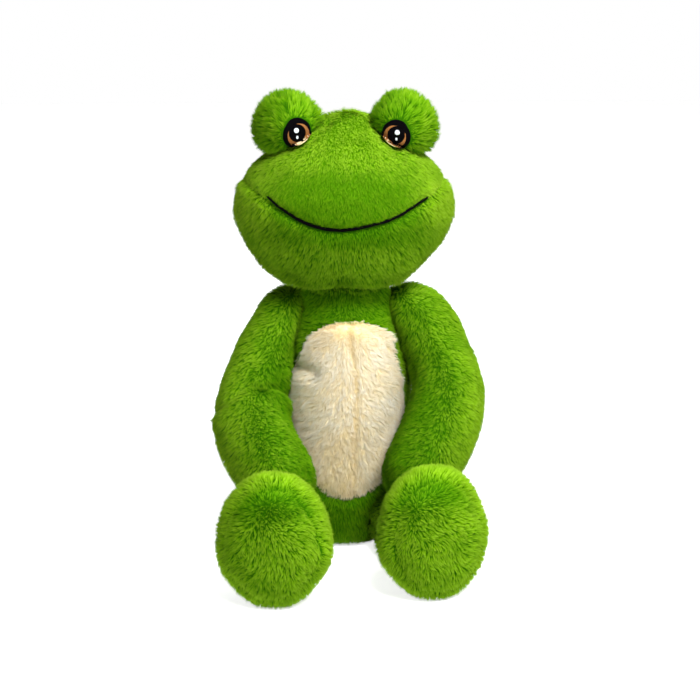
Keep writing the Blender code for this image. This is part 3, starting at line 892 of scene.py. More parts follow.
    def _tufts(self, coat: Coat, axis: Array, length: Array) -> tuple[Array, Array]:
        """Shape each tuft.

        A tuft is a brush of fine fibres, not a smooth spike, so it is shaded mostly as the cloth under it is.

        Args:
            coat: The tufts' roots.
            axis: Each tuft's direction.
            length: Each tuft's length.

        Returns:
            Each tuft's three root corners and its tip, and the way that each of them faces.
        """
        count = len(axis)
        side = units(np.cross(axis, coat.normals))
        depth = np.cross(side, axis)
        turn = self.rng.uniform(0, 2 * math.pi, count)
        half = self.cut.width / 2 * self.rng.uniform(*self.WIDTHS, count)
        places, facing = np.empty((count, 4, 3)), np.empty((count, 4, 3))
        for k in range(3):
            angle = turn + k * 2 * math.pi / 3
            arm = np.cos(angle)[:, None] * side + np.sin(angle)[:, None] * depth
            places[:, k] = coat.roots - coat.normals * self.cut.sunk + arm * half[:, None]
            facing[:, k] = coat.normals + self.cut.crisp * arm
        places[:, 3] = coat.roots + axis * length[:, None]
        facing[:, 3] = coat.normals + self.cut.crisp * axis
        return places, facing / np.linalg.norm(facing, axis=2)[:, :, None]

    def _mesh(self, name: str, places: Array, facing: Array, cells: Array) -> bpy.types.Mesh:
        """Make the mesh of all tufts, with the map that its material reads.

        Args:
            name: The mesh's name.
            places: Each tuft's four corners.
            facing: The way that each corner faces.
            cells: Each tuft's tone, as a column of the map.

        Returns:
            The mesh.
        """
        count = len(places)
        corners = np.array([[1, 0, 3], [2, 1, 3], [0, 2, 3], [0, 1, 2]])
        faces = (np.arange(count)[:, None, None] * 4 + corners).reshape(-1)
        across = np.array(self.ACROSS_TONE)
        up = np.array([self.cut.root_shade] * 3 + [1.0])
        flat = np.stack([(cells[:, None] + across) / self.TONES, np.broadcast_to(up, (count, 4))], axis=2)
        mesh = bpy.data.meshes.new(name)
        mesh.vertices.add(count * 4)
        mesh.vertices.foreach_set("co", places.astype(np.float32).ravel())
        mesh.loops.add(len(faces))
        mesh.loops.foreach_set("vertex_index", faces.astype(np.int32))
        mesh.polygons.add(len(faces) // 3)
        mesh.polygons.foreach_set("loop_start", np.arange(0, len(faces), 3, dtype=np.int32))
        mesh.update(calc_edges=True)
        mesh.shade_smooth()
        own = mesh.attributes.new("custom_normal", "FLOAT_VECTOR", "POINT")
        own.data.foreach_set("vector", facing.astype(np.float32).ravel())
        for map_name in (PILE_MAP, BAKE_MAP):
            write_map(mesh, map_name, flat.reshape(-1, 2)[faces])
        return mesh


# Stuffed forms

CLOTH_SETTINGS: dict[str, Any] = {
    "quality": 4, "mass": 0.25, "tension_stiffness": 12, "compression_stiffness": 12,
    "bending_stiffness": 0.4, "use_pressure": True,
}


@dataclass(frozen=True)
class Panel:
    """One cloth panel: the CAD node it is cut as, its pile and its backing."""

    node: str
    cut: PileCut = PileCut()
    pile: Finish = Finish.GREEN_PILE
    slot: str = "green_plush"
    backing: Finish = Finish.GREEN_BACKING


@dataclass
class StuffedForm:
    """A sewn and stuffed sub-assembly: a closed skin that swells between its seams, under its panels' pile.

    open_room is the room from which pile stands as close as it is cut, and shades says by how much painted
    shade darkens it in creases, and in less room than what. brushing gives the share of its lean that pile
    has where nothing brushes it, what the flow adds, and the most.
    """

    name: str
    body: str
    panels: tuple[Panel, ...]
    fillings: tuple[str, ...]
    seed: int = 1
    fill: float = 0.7
    fullness: tuple[Spot, ...] = ()
    voxel: float = 4.5 * MM
    start_smaller: float = 0.8 * MM
    pressure: float = 14.0
    swell_frames: int = 20
    cap: float = 4.0 * MM
    smoothing: int = 2
    seam_gap: float = 1.2 * MM
    seam_hold: float = 5.0 * MM
    seam_depth: float = 1.6 * MM
    seam_width: float = 4.0 * MM
    open_room: float = 4.0 * MM
    least_open: float = 0.45
    shades: tuple[tuple[float, float], ...] = ((0.5, 7 * MM), (0.4, 2.5 * MM))
    brushing: tuple[float, float, float] = (0.25, 0.9, 1.35)
    seam_lines: list[Array] = field(default_factory=list)
    skin: bpy.types.Object | None = None
    surface: BVHTree | None = None

    def build(self, toy: "Toy") -> None:
        """Sew, stuff and cover the form.

        Args:
            toy: The whole toy, with its frame, its materials and its viewpoint.
        """
        self.seam_lines = self._seams(toy)
        self.skin = self._sew(toy)
        self._stuff(self.skin)
        apply_modifier(self.skin, "SMOOTH", {"factor": 0.5, "iterations": self.smoothing})
        apply_modifier(self.skin, "SUBSURF", {"levels": 1, "render_levels": 1})
        self.press(self.seams().points, self.seam_depth, self.seam_width)
        self.swell(self.fullness)
        self.surface = tree_of(self.skin)
        self.shape(toy)
        self.skin.data.shade_smooth()
        self.surface = tree_of(self.skin)
        self._line(toy)
        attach(self.skin, self.body)
        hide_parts(*[p.node for p in self.panels], *self.fillings)
        log.info("%s: %d faces", self.skin.name, len(self.skin.data.polygons))
        self.dress(toy)
        self._cover(toy)

    def shape(self, toy: "Toy") -> None:
        """Move the skin's vertices where the photograph shows creases; most forms have none."""

    def dress(self, toy: "Toy") -> None:
        """Add what is stitched on the skin before the pile grows; most forms have nothing."""

    def flow(self, places: Array, normals: Array) -> Array:
        """Return the way in which the pile is brushed at each place."""
        return np.tile((0.0, 0.0, -1.0), (len(places), 1))

    def share(self, places: Array) -> Array:
        """Return the pile's length at each place, as a share of its cut; 0 leaves the place bare."""
        return np.ones(len(places))

    def tone(self, places: Array) -> Array:
        """Return how much lighter or darker the pile is at each place."""
        return np.zeros(len(places))

    def seams(self) -> PointCloud:
        """Return all seam points as one cloud."""
        return PointCloud(np.concatenate(self.seam_lines) if self.seam_lines else np.empty((0, 3)))

    def _seams(self, toy: "Toy", steps: int = 8) -> list[Array]:
        """Find the lines along which the form's panels meet.

        Args:
            toy: The whole toy.
            steps: How many steps each edge of a seam is divided into.

        Returns:
            Rows of places for each pair of panels that meet.
        """
        found = []
        for first, second in itertools.combinations([p.node for p in self.panels], 2):
            other = tree_of(toy.nodes[second])
            mesh = bmesh.new()
            mesh.from_mesh(toy.nodes[first].data)
            bmesh.ops.remove_doubles(mesh, verts=mesh.verts, dist=WELD)
            close = {v for v in mesh.verts if other.find_nearest(v.co, self.seam_gap)[0] is not None}
            line = [tuple(e.verts[0].co.lerp(e.verts[1].co, k / steps)) for e in mesh.edges
                    if e.verts[0] in close and e.verts[1] in close for k in range(steps + 1)]
            mesh.free()
            if line:
                found.append(np.array(line))
        return found

    def _sew(self, toy: "Toy") -> bpy.types.Object:
        """Join copies of the panels and fillings into one even closed skin.

        Args:
            toy: The whole toy.

        Returns:
            The skin.
        """
        whole = bmesh.new()
        for node in [*[p.node for p in self.panels], *self.fillings]:
            whole.from_mesh(toy.nodes[node].data)
        bmesh.ops.remove_doubles(whole, verts=whole.verts, dist=WELD)
        mesh = bpy.data.meshes.new(f"{self.name}_skin")
        whole.to_mesh(mesh)
        whole.free()
        skin = add_object(f"{self.name}_skin", mesh)
        apply_modifier(skin, "REMESH", {"mode": "VOXEL", "voxel_size": self.voxel})
        self._drop_bubbles(skin)
        return skin

    def _drop_bubbles(self, skin: bpy.types.Object) -> None:
        """Keep only the outer shell, without the small hollows between panels and filling.

        Args:
            skin: The skin as remeshed.
        """
        mesh = bmesh.new()
        mesh.from_mesh(skin.data)
        left, shells = set(mesh.verts), []
        while left:
            start = left.pop()
            shell, edge = {start}, [start]
            while edge:
                for link in edge.pop().link_edges:
                    for vert in link.verts:
                        if vert in left:
                            left.remove(vert)
                            shell.add(vert)
                            edge.append(vert)
            shells.append(shell)
        keep = max(shells, key=len)
        bmesh.ops.delete(mesh, geom=[v for v in mesh.verts if v not in keep], context="VERTS")
        bmesh.ops.recalc_face_normals(mesh, faces=mesh.faces)
        mesh.to_mesh(skin.data)
        mesh.free()

    def _stuff(self, skin: bpy.types.Object) -> None:
        """Swell the skin under pressure, with its seams held.

        Args:
            skin: The skin, which starts a little smaller than it was sewn.
        """
        rest = points_of(skin)
        distance, _ = self.seams().nearest(rest)
        start = rest - normals_of(skin) * self.start_smaller
        move_points(skin, start)
        held = skin.vertex_groups.new(name="held_seams")
        for i, weight in enumerate(bump(distance, self.seam_hold)):
            held.add([i], float(weight), "REPLACE")
        cloth = skin.modifiers.new("stuffing_pressure", "CLOTH")
        for name, value in CLOTH_SETTINGS.items():
            setattr(cloth.settings, name, value)
        cloth.settings.uniform_pressure_force = self.pressure
        cloth.settings.effector_weights.gravity = 0
        cloth.settings.vertex_group_mass = held.name
        cloth.collision_settings.use_collision = False
        scene = bpy.context.scene
        for frame in range(1, self.swell_frames + 1):
            scene.frame_set(frame)
        choose_only(skin)
        bpy.ops.object.modifier_apply(modifier=cloth.name)
        scene.frame_set(1)
        moved = points_of(skin) - start
        far = np.maximum(np.linalg.norm(moved, axis=1), 1e-9)
        log.info("%s: swelled by %.1f mm on average, %.1f mm at most",
                 skin.name, far.mean() / MM, far.max() / MM)
        move_points(skin, start + moved * np.minimum(1, self.cap / far)[:, None])
        skin.vertex_groups.clear()

    def move_out(self, far: Array) -> None:
        """Move each vertex of the skin out along its normal, or in for a distance below 0."""
        move_points(self.skin, points_of(self.skin) + normals_of(self.skin) * far[:, None])

    def press(self, line: Array, depth: float, width: float) -> None:
        """Press a crease into the skin, or raise a ridge with a depth below 0.

        Args:
            line: Places on the skin that the crease follows.
            depth: How far the skin moves in at the crease.
            width: How far from the line it still moves.
        """
        self.move_out(-depth * bump(distance_to(line, points_of(self.skin)), width))

    def swell(self, spots: Sequence[Spot]) -> None:
        """Let the filling push the skin out round some spots.

        Args:
            spots: For each, its place, how far the skin moves out there, and how far from it the skin
                still moves.
        """
        for spot, rise, width in spots:
            far = np.linalg.norm(points_of(self.skin) - np.array(spot), axis=1)
            self.move_out(rise * bump(far, width))

    def _line(self, toy: "Toy") -> None:
        """Give the skin the backing cloth of the panel that each face belongs to.

        Args:
            toy: The whole toy.
        """
        data = self.skin.data
        data.materials.clear()
        backings = sorted({p.backing for p in self.panels}, key=lambda backing: backing.name)
        for backing in backings:
            data.materials.append(toy.rack.get(backing))
        if len(backings) > 1:
            owner = self._owners(toy, read(data.polygons, "center").astype(float))
            index = np.array([backings.index(p.backing) for p in self.panels], np.int32)
            data.polygons.foreach_set("material_index", index[owner])

    def _cover(self, toy: "Toy") -> None:
        """Scatter roots over the skin, sort them by panel, and grow each panel's pile.

        Args:
            toy: The whole toy.
        """
        rng = np.random.default_rng(self.seed)
        densest = max(p.cut.per_mm2 for p in self.panels)
        roots, normals = self._scatter(rng, densest)
        room = toy.room(self.body, roots, normals)
        chance = np.clip(room / self.open_room, self.least_open, 1.0)
        keep = (self.share(roots) > 0) & (rng.random(len(roots)) < chance)
        roots, normals, room = roots[keep], normals[keep], room[keep]
        owner = self._owners(toy, roots)
        distance, number = self.seams().nearest(roots)
        cloud = self.seams().points
        away = units(roots - cloud[number]) if len(cloud) else np.zeros_like(roots)
        flow = self.flow(roots, normals)
        flow = flow - np.sum(flow * normals, axis=1)[:, None] * normals
        still, by_flow, most = self.brushing
        brushed = np.clip(still + by_flow * np.linalg.norm(flow, axis=1), 0, most)
        tone = self.tone(roots)
        # painted shade in creases, where another body or the floor leaves the pile little room
        for depth, reach in self.shades:
            tone = tone - depth * np.clip(1 - room / reach, 0, 1)
        coat = Coat(roots, normals, units(flow), brushed, self.share(roots), tone, room, distance, away)
        for i, panel in enumerate(self.panels):
            mine = (owner == i) & (rng.random(len(roots)) < panel.cut.per_mm2 / densest)
            maker = PileMaker(panel.cut, SEEDS_PER_FORM * self.seed + i)
            pile = maker.grow(f"{panel.node}_pile", coat.kept(mine), toy.rack.get(panel.pile))
            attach(pile, self.body)

    def _scatter(self, rng: np.random.Generator, per_mm2: float) -> tuple[Array, Array]:
        """Spread places evenly at random over the skin.

        Args:
            rng: The form's own random numbers.
            per_mm2: How many places there are on a square millimetre.

        Returns:
            The places, and the skin's normals there.
        """
        places, normals, faces = points_of(self.skin), normals_of(self.skin), triangles_of(self.skin)
        a, b, c = (places[faces[:, k]] for k in range(3))
        area = np.linalg.norm(np.cross(b - a, c - a), axis=1) / 2
        count = rng.poisson(area * per_mm2 * PER_MM2)
        face = np.repeat(np.arange(len(faces)), count)
        first = np.sqrt(rng.random(len(face)))
        second = rng.random(len(face))
        weights = np.stack([1 - first, first * (1 - second), first * second], axis=1)
        roots = np.einsum("nk,nkd->nd", weights, places[faces[face]])
        return roots, units(np.einsum("nk,nkd->nd", weights, normals[faces[face]]))

    def _owners(self, toy: "Toy", roots: Array) -> Array:
        """Find the panel that each root stands on.

        Args:
            toy: The whole toy.
            roots: Rows of places.

        Returns:
            Each root's panel, by its number in panels.
        """
        if len(self.panels) == 1:
            return np.zeros(len(roots), int)
        trees = [tree_of(toy.nodes[panel.node]) for panel in self.panels]
        reach = [[tree.find_nearest(place)[3] for place in roots.tolist()] for tree in trees]
        return np.argmin(np.array(reach), axis=0)


def centreline(toy: "Toy", nodes: Sequence[str], slices: int = 12,
               overlap: float = 4 * MM) -> tuple[Array, Array]:
    """Find the middle of a limb at several heights.

    Args:
        toy: The whole toy.
        nodes: The limb's CAD nodes.
        slices: How many heights are measured.
        overlap: How far each slice reaches past its edges.

    Returns:
        The heights, and the middle at each as rows.
    """
    places = np.concatenate([points_of(toy.nodes[n]) for n in nodes])
    edges = np.linspace(places[:, 2].min(), places[:, 2].max(), slices + 1)
    heights, middles = [], []
    for low, high in zip(edges, edges[1:]):
        inside = places[(places[:, 2] >= low - overlap) & (places[:, 2] <= high + overlap)]
        if len(inside):
            heights.append((low + high) / 2)
            middles.append((inside.min(0) + inside.max(0)) / 2)
    return np.array(heights), np.array(middles)


# The toy's forms

class Side(Enum):
    """The toy's own left and right, with the sign of X on each."""

    LEFT = 1
    RIGHT = -1

    @property
    def label(self) -> str:
        """Return the word that starts the side's piece names."""
        return self.name.lower()


@dataclass
class TorsoForm(StuffedForm):
    """The torso, with the cream belly patch let into its front and a seam down the middle of that patch.

    patch_left and patch_right are the two sides of the patch's upper edge in the photograph, from the top
    down. A pair named for a press is its depth and width, and one named for a place is a height and a reach.
    """

    FRONT, BACK, PATCH = 0, 1, 2

    patch_seam: tuple[Pixel, ...] = ((347, 324), (355, 374), (356, 404), (354, 444), (353, 500))
    patch_left: tuple[Pixel, ...] = (
        (345, 321), (324, 327), (311, 335), (303, 349), (300, 362), (297, 371), (291, 382), (288, 391))
    patch_right: tuple[Pixel, ...] = (
        (345, 321), (359, 322), (377, 327), (393, 335), (403, 349), (407, 363), (406, 391))
    dent: tuple[Pixel, ...] = ((282, 362), (300, 366), (314, 371))
    seam_press: tuple[float, float] = (1.8 * MM, 3 * MM)
    dent_press: tuple[float, float] = (3.8 * MM, 7 * MM)
    front_y: float = -0.02
    parting: float = 30 * MM
    outwards: float = 0.8
    brush_heights: tuple[float, ...] = (0.172, 0.192, 0.199, 0.201)
    brush_rises: tuple[float, ...] = (-1.0, -0.1, 0.5, -1.0)
    seam_tint_width: float = 1.8 * MM
    # painted shade low on the belly and under the chin; darker holds the seam's tint and these two painted
    # shades
    lap: tuple[float, float] = (0.110, -60 * MM)
    under_chin: tuple[float, float] = (0.185, 15 * MM)
    darker: tuple[float, float, float] = (1.3, 0.45, 0.5)
    patch_seam_line: Array | None = None

    def shape(self, toy: "Toy") -> None:
        """Draw in the seam down the belly, and the dent beside the right arm.

        Args:
            toy: The whole toy.
        """
        self.patch_seam_line = toy.view.land(self.surface, self.patch_seam)
        self.press(self.patch_seam_line, *self.seam_press)
        self.press(toy.view.land(self.surface, self.dent), *self.dent_press)
        self.seam_lines.append(self.patch_seam_line)

    def _owners(self, toy: "Toy", roots: Array) -> Array:
        """Find each root's panel, with the patch's upper edge where the photograph shows it.

        Args:
            toy: The whole toy.
            roots: Rows of places.

        Returns:
            Each root's panel, by its number in panels.
        """
        owner = super()._owners(toy, roots)
        seen = toy.view.pixels(roots)
        left, right = (np.interp(seen[:, 1], *zip(*((y, x) for x, y in side)))
                       for side in (self.patch_left, self.patch_right))
        upper = (roots[:, 1] < self.front_y) & (seen[:, 1] < self.patch_left[-1][1])
        inside = (seen[:, 1] > self.patch_left[0][1]) & (seen[:, 0] > left) & (seen[:, 0] < right)
        return np.where(upper & (owner != self.BACK), np.where(inside, self.PATCH, self.FRONT), owner)

    def flow(self, places: Array, normals: Array) -> Array:
        """Brush the pile down and out to both sides, and up at the patch's upper edge.

        Args:
            places: Rows of places.
            normals: The skin's normals there; not used.

        Returns:
            The way at each place.
        """
        out = np.clip(places[:, 0] / self.parting, -1, 1) * self.outwards
        down = np.interp(places[:, 2], self.brush_heights, self.brush_rises)
        return np.stack([out, places[:, 1] * 0, np.where(places[:, 1] < self.front_y, down, -1.0)], axis=1)

    def tone(self, places: Array) -> Array:
        """Tint the belly along its middle seam, and paint shade on what lies low or under the chin.

        Args:
            places: Rows of places.

        Returns:
            How much lighter or darker each place is.
        """
        seam, low, high = self.darker
        height = places[:, 2]
        tint = bump(distance_to(self.patch_seam_line, places), self.seam_tint_width)
        return -seam * tint - low * ramp(height, *self.lap) - high * ramp(height, *self.under_chin)


@dataclass
class HeadForm(StuffedForm):
    """The wide head, with the stitched mouth between the face and the chin.

    A pair named for a press is its depth and width, and one named for a place is its start and its reach.
    """

    middle: Point = (0.0, -0.004, 0.299)
    mouth: tuple[Pixel, ...] = (
        (269, 197), (277.5, 205), (287, 211.5), (298, 219), (311, 225), (326, 229), (342, 230), (355, 228.5),
        (371, 225), (386, 221), (401, 214), (413, 206), (425.5, 198))
    mouth_step: float = 0.8 * MM
    mouth_press: tuple[float, float] = (0.6 * MM, 6 * MM)
    creases: tuple[tuple[Pixel, ...], ...] = (
        ((250, 164), (258, 158), (280, 150), (300, 146), (313, 138), (327, 124), (338, 110)),
        ((441, 164), (435, 158), (427, 154), (410, 148), (392, 147), (380, 137), (373, 122), (371, 112)))
    crease_press: tuple[float, float] = (1.5 * MM, 4 * MM)

    chin_below_middle: float = 20 * MM
    chin_depth: float = 40 * MM
    chin_rim: tuple[float, float] = (36 * MM, 10 * MM)
    chin_drop: float = 8 * MM
    chin_spread: float = 0.02
    chin_lobes: tuple[Spot, ...] = (
        ((0.017, -0.035, 0.231), 3 * MM, 13 * MM), ((-0.021, -0.035, 0.231), 2.5 * MM, 13 * MM))

    brush_back: float = 45 * MM
    brush_spread: tuple[float, float] = (62 * MM, 90 * MM)
    brush_down: float = 0.85
    forehead_flat: float = 0.9
    forehead_short: float = 0.15
    mouth_bare: float = 1.8 * MM
    mouth_short: float = 0.55
    mouth_short_width: float = 4.5 * MM

    brow: tuple[float, float] = (0.320, 16 * MM)
    brow_front: tuple[float, float] = (10 * MM, -20 * MM)
    snout_front: tuple[float, float] = (-0.030, -20 * MM)
    snout_width: float = 55 * MM
    snout_top: tuple[float, float] = (0.266, 14 * MM)
    cheek_height: float = 0.302
    cheek_width: float = 18 * MM
    cheek_side: tuple[float, float] = (0.055, 14 * MM)
    # painted light on the forehead and the cheeks, and painted shade on the snout
    tones: tuple[float, float, float] = (0.15, 0.6, 0.85)
    mouth_line: Array | None = None

    def shape(self, toy: "Toy") -> None:
        """Sink the mouth, edge the face panel, and let the chin hang over the neck seam.

        Args:
            toy: The whole toy.
        """
        self.mouth_line = toy.view.land(self.surface, self.mouth, self.mouth_step)
        self.press(self.mouth_line, *self.mouth_press)
        for crease in self.creases:
            self.press(toy.view.land(self.surface, crease), *self.crease_press)
        places = points_of(self.skin)
        low = ramp(places[:, 2], self.middle[2] - self.chin_below_middle, -self.chin_depth)
        low = low * low * (3 - 2 * low)
        rim = ramp(np.hypot(places[:, 0], places[:, 1]), *self.chin_rim)
        places[:, 2] -= self.chin_drop * low * rim
        places[:, 0] *= 1 + self.chin_spread * low * rim
        move_points(self.skin, places)
        self.swell(self.chin_lobes)

    def dress(self, toy: "Toy") -> None:
        """Stitch the mouth."""
        MouthLine(toy.view.land(tree_of(self.skin), self.mouth, self.mouth_step)).build(toy, self.body)

    def flow(self, places: Array, normals: Array) -> Array:
        """Brush the pile down, and outwards over the cheeks.

        Args:
            places: Rows of places.
            normals: The skin's normals there; not used.

        Returns:
            The way at each place.
        """
        off = places - np.array(self.middle) - np.array((0.0, self.brush_back, 0.0))
        wide, deep = self.brush_spread
        way = np.stack([off[:, 0] / wide, off[:, 1] / deep, np.full(len(places), -self.brush_down)], axis=1)
        return way * (1 + self.forehead_flat * self._forehead(places))[:, None]

    def _forehead(self, places: Array) -> Array:
        """Return 1 on the smooth forehead, fading to 0 on the snout, the cheeks and the back."""
        return ramp(places[:, 2], *self.brow) * ramp(places[:, 1], *self.brow_front)

    def share(self, places: Array) -> Array:
        """Shorten the pile on the forehead and leave the mouth's stitches bare.

        Args:
            places: Rows of places.

        Returns:
            The pile's length at each place, as a share of its cut.
        """
        distance = distance_to(self.mouth_line, places)
        share = 1 - self.forehead_short * self._forehead(places)
        share = share * (1 - self.mouth_short * bump(distance, self.mouth_short_width))
        return np.where(distance < self.mouth_bare, 0.0, share)

    def tone(self, places: Array) -> Array:
        """Paint light on the forehead and the cheeks beside the mouth, and paint shade on the snout.

        Args:
            places: Rows of places.

        Returns:
            How much lighter or darker each place is.
        """
        lit_forehead, lit_cheek, dark_snout = self.tones
        snout = ramp(places[:, 1], *self.snout_front) * bump(places[:, 0], self.snout_width)
        snout *= ramp(places[:, 2], *self.snout_top)
        cheek = bump(places[:, 2] - self.cheek_height, self.cheek_width)
        cheek = cheek * ramp(np.abs(places[:, 0]), *self.cheek_side)
        forehead = self._forehead(places)
        return (lit_forehead * forehead + lit_cheek * cheek * (places[:, 1] < 0)
                - dark_snout * snout * (1 - forehead))


@dataclass
class EyeDomeForm(StuffedForm):
    """An eye dome, with its stitched eye and pile that stands open round it."""

    side: Side = Side.LEFT
    eye_pixel: Pixel = (0, 0)
    brush_up: float = 0.15
    bare: float = 0.2 * MM
    short: float = 0.5
    short_width: float = 4 * MM
    # painted shade over the whole dome
    darker: float = 0.3
    eye: "StitchedEye | None" = None

    def dress(self, toy: "Toy") -> None:
        """Stitch the eye."""
        self.eye = StitchedEye(self.side, self.eye_pixel)
        self.eye.build(toy, self)

    def flow(self, places: Array, normals: Array) -> Array:
        """Brush the pile away from the eye."""
        return units(places - np.array(self.eye.middle)) + np.array((0, 0, self.brush_up))

    def share(self, places: Array) -> Array:
        """Leave the eye bare, and shorten the pile beside it.

        Args:
            places: Rows of places.

        Returns:
            The pile's length at each place, as a share of its cut.
        """
        beyond = self.eye.beyond(places)
        share = 1.0 - self.short * bump(np.maximum(beyond, 0), self.short_width)
        return np.where(beyond < self.bare, 0.0, share)

    def tone(self, places: Array) -> Array:
        """Paint a little shade over the dome, for the shade that its open pile holds."""
        return np.full(len(places), -self.darker)


@dataclass
class ArmForm(StuffedForm):
    """A long arm, brushed down and away from its middle line.

    fold and its ridge are a depth and a width; forearm is where it starts and its reach.
    """

    side: Side = Side.LEFT
    elbow: tuple[Pixel, ...] = ()
    fold: tuple[float, float] = (4.5 * MM, 5 * MM)
    ridge: tuple[float, float] = (-2.4 * MM, 8 * MM)
    ridge_below: float = 9 * MM
    brush_down: float = 0.9
    brush_width: float = 18 * MM
    brush_out: Point = (0.9, 0.2, 0.0)
    # painted shade over the whole arm, and painted light and shade across the forearm's two sides
    darker: float = 0.08
    side_light: float = 0.35
    side_width: float = 20 * MM
    forearm: tuple[float, float] = (0.190, -40 * MM)
    heights: Array | None = None
    middles: Array | None = None

    def shape(self, toy: "Toy") -> None:
        """Fold the elbow where the photograph shows its crease.

        Args:
            toy: The whole toy.
        """
        self.heights, self.middles = centreline(toy, [p.node for p in self.panels])
        if self.elbow:
            line = toy.view.land(self.surface, self.elbow)
            self.press(line, *self.fold)
            self.press(line + np.array((0, 0, -self.ridge_below)), *self.ridge)

    def _along(self, places: Array, rows: Array) -> Array:
        """Read rows that belong to the middle line's heights at the places' own heights."""
        return np.stack([np.interp(places[:, 2], self.heights, rows[:, k]) for k in range(3)], axis=1)

    def flow(self, places: Array, normals: Array) -> Array:
        """Brush the pile down the arm and away from its middle.

        Args:
            places: Rows of places.
            normals: The skin's normals there; not used.

        Returns:
            The way at each place.
        """
        off = places - self._along(places, self.middles)
        down = self._along(places, np.stack([np.gradient(self.middles[:, k]) for k in range(3)], axis=1))
        out = np.clip(off / self.brush_width, -1, 1) * np.array(self.brush_out)
        return -units(down) * self.brush_down + out

    def tone(self, places: Array) -> Array:
        """Paint a little shade over the whole arm, painted light on the forearm's outer side, and painted
        shade on its inner one, which lies in the shade of the belly.

        Args:
            places: Rows of places.

        Returns:
            How much lighter or darker each place is.
        """
        low = ramp(places[:, 2], *self.forearm)
        out = (places[:, 0] - self._along(places, self.middles)[:, 0]) * self.side.value
        return -self.darker + self.side_light * low * np.clip(out / self.side_width, -1, 1)


@dataclass
class LegForm(StuffedForm):
    """A leg that lies along the floor."""

    brush: Point = (0.0, -1.0, -0.3)

    def flow(self, places: Array, normals: Array) -> Array:
        """Brush the pile towards the foot."""
        return np.tile(self.brush, (len(places), 1))


@dataclass
class FootForm(StuffedForm):
    """A big upright foot, whose pile turns out from a whorl on the sole.

    broad holds the pixels round which the foot is broader than its skin, and by how much. rim and top are
    shares of the foot's half size, where they start and how far they reach.
    """

    whorl: Pixel = (0, 0)
    broad: tuple[tuple[Pixel, float], ...] = ()
    broad_width: float = 15 * MM
    whorl_size: float = 34 * MM
    whorl_strength: float = 0.6
    brush: Point = (0.35, 0.3, -0.3)
    rim: tuple[float, float] = (0.80, 0.15)
    top: tuple[float, float] = (0.35, 0.35)
    # painted light on the sole, painted sheen on its rim, and painted shade on its top
    tones: tuple[float, float, float] = (0.2, 0.25, 0.75)
    start: Array | None = None

    def shape(self, toy: "Toy") -> None:
        """Broaden the foot where the photograph shows it, and find the whorl's place on the sole.

        Args:
            toy: The whole toy.
        """
        for pixel, rise in self.broad:
            self.swell([(tuple(toy.view.hit(self.surface, pixel)[0]), rise, self.broad_width)])
        self.start = np.array(toy.view.hit(self.surface, self.whorl)[0])

    def flow(self, places: Array, normals: Array) -> Array:
        """Brush the pile away from the whorl, more to the left and down, and round to the back.

        Args:
            places: Rows of places.
            normals: The skin's normals there; not used.

        Returns:
            The way at each place.
        """
        off = (places - self.start) / self.whorl_size
        out = self.whorl_strength * off / np.maximum(1, np.linalg.norm(off, axis=1))[:, None]
        return out + np.array(self.brush)

    def tone(self, places: Array) -> Array:
        """Paint light on the sole and a painted sheen on its rim's tips, and paint shade on the top of the
        sole.

        Args:
            places: Rows of places.

        Returns:
            How much lighter or darker each place is.
        """
        sole, rim_sheen, dark_top = self.tones
        low, high = places.min(0), places.max(0)
        off = (places - (low + high) / 2) / ((high - low) / 2)
        rim = ramp(np.hypot(off[:, 0], off[:, 2]), *self.rim)
        return sole + rim_sheen * rim - dark_top * ramp(off[:, 2], *self.top) * (1 - rim)


@dataclass
class NeckSeam(StuffedForm):
    """The ring of cloth where the head is sewn to the neck."""

    def _stuff(self, skin: bpy.types.Object) -> None:
        """Leave the ring as it is, because it is drawn tight by its stitches."""


# Stitching

def stitch_ball(name: str, segments: int, rings: int) -> bpy.types.Object:
    """Add the ball of radius 1 that a piece of satin stitch is shaped from.

    Args:
        name: The piece's name.
        segments: The ball's sides.
        rings: The ball's rings.

    Returns:
        The ball, with no UV map.
    """
    choose_only()
    bpy.ops.mesh.primitive_uv_sphere_add(segments=segments, ring_count=rings, radius=1.0)
    ball = bpy.context.object
    ball.name = name
    ball.data.name = name
    while ball.data.uv_layers:
        ball.data.uv_layers.remove(ball.data.uv_layers[0])
    return ball


@dataclass(frozen=True)
class StitchLayer:
    """One colour of the eye: an outline of radii round its own middle, and how high its thread stands.

    The radii are in millimetres, every 30 degrees from the toy's outer side over the top to the inner side.
    """

    name: str
    finish: Finish
    middle: tuple[float, float]
    radii: tuple[float, ...]
    height: float
    upright: bool = False

    def radius(self, angle: Array) -> Array:
        """Return the outline's radius at each angle, in metres."""
        steps = np.arange(len(self.radii) + 1) * 2 * math.pi / len(self.radii)
        return np.interp(angle % (2 * math.pi), steps, (*self.radii, self.radii[0])) * MM


EYE_LAYERS = (
    StitchLayer("eye_pale_rim", Finish.PALE_THREAD, (0.0, 0.0),
                (9, 9, 9, 9, 9, 9, 9.9, 9.7, 9.4, 10.2, 9.8, 9), 0.35 * MM),
    StitchLayer("eye_black_ring", Finish.BLACK_THREAD, (0.0, 0.0),
                (12.0, 11.3, 12.4, 12.6, 12.3, 12.4, 12.0, 8.8, 8.5, 9.8, 13.6, 13.0), 0.8 * MM),
    StitchLayer("eye_brown_iris", Finish.BROWN_THREAD, (-1.0, -1.5),
                (9.9, 9.7, 9.7, 9.9, 10.2, 10.2, 9.8, 7.3, 6.5, 7.9, 10.6, 10.4), 1.2 * MM),
    StitchLayer("eye_black_pupil", Finish.BLACK_THREAD, (0.0, -0.3), (8.0,) * 12, 1.6 * MM, True),
    StitchLayer("eye_large_highlight", Finish.WHITE_THREAD, (1.1, 2.0), (2.4,) * 12, 1.95 * MM, True),
    StitchLayer("eye_small_highlight", Finish.WHITE_THREAD, (0.3, -3.6),
                (1.2, 1.2, 1.4, 1.7, 1.4, 1.2) * 2, 1.9 * MM, True),
)


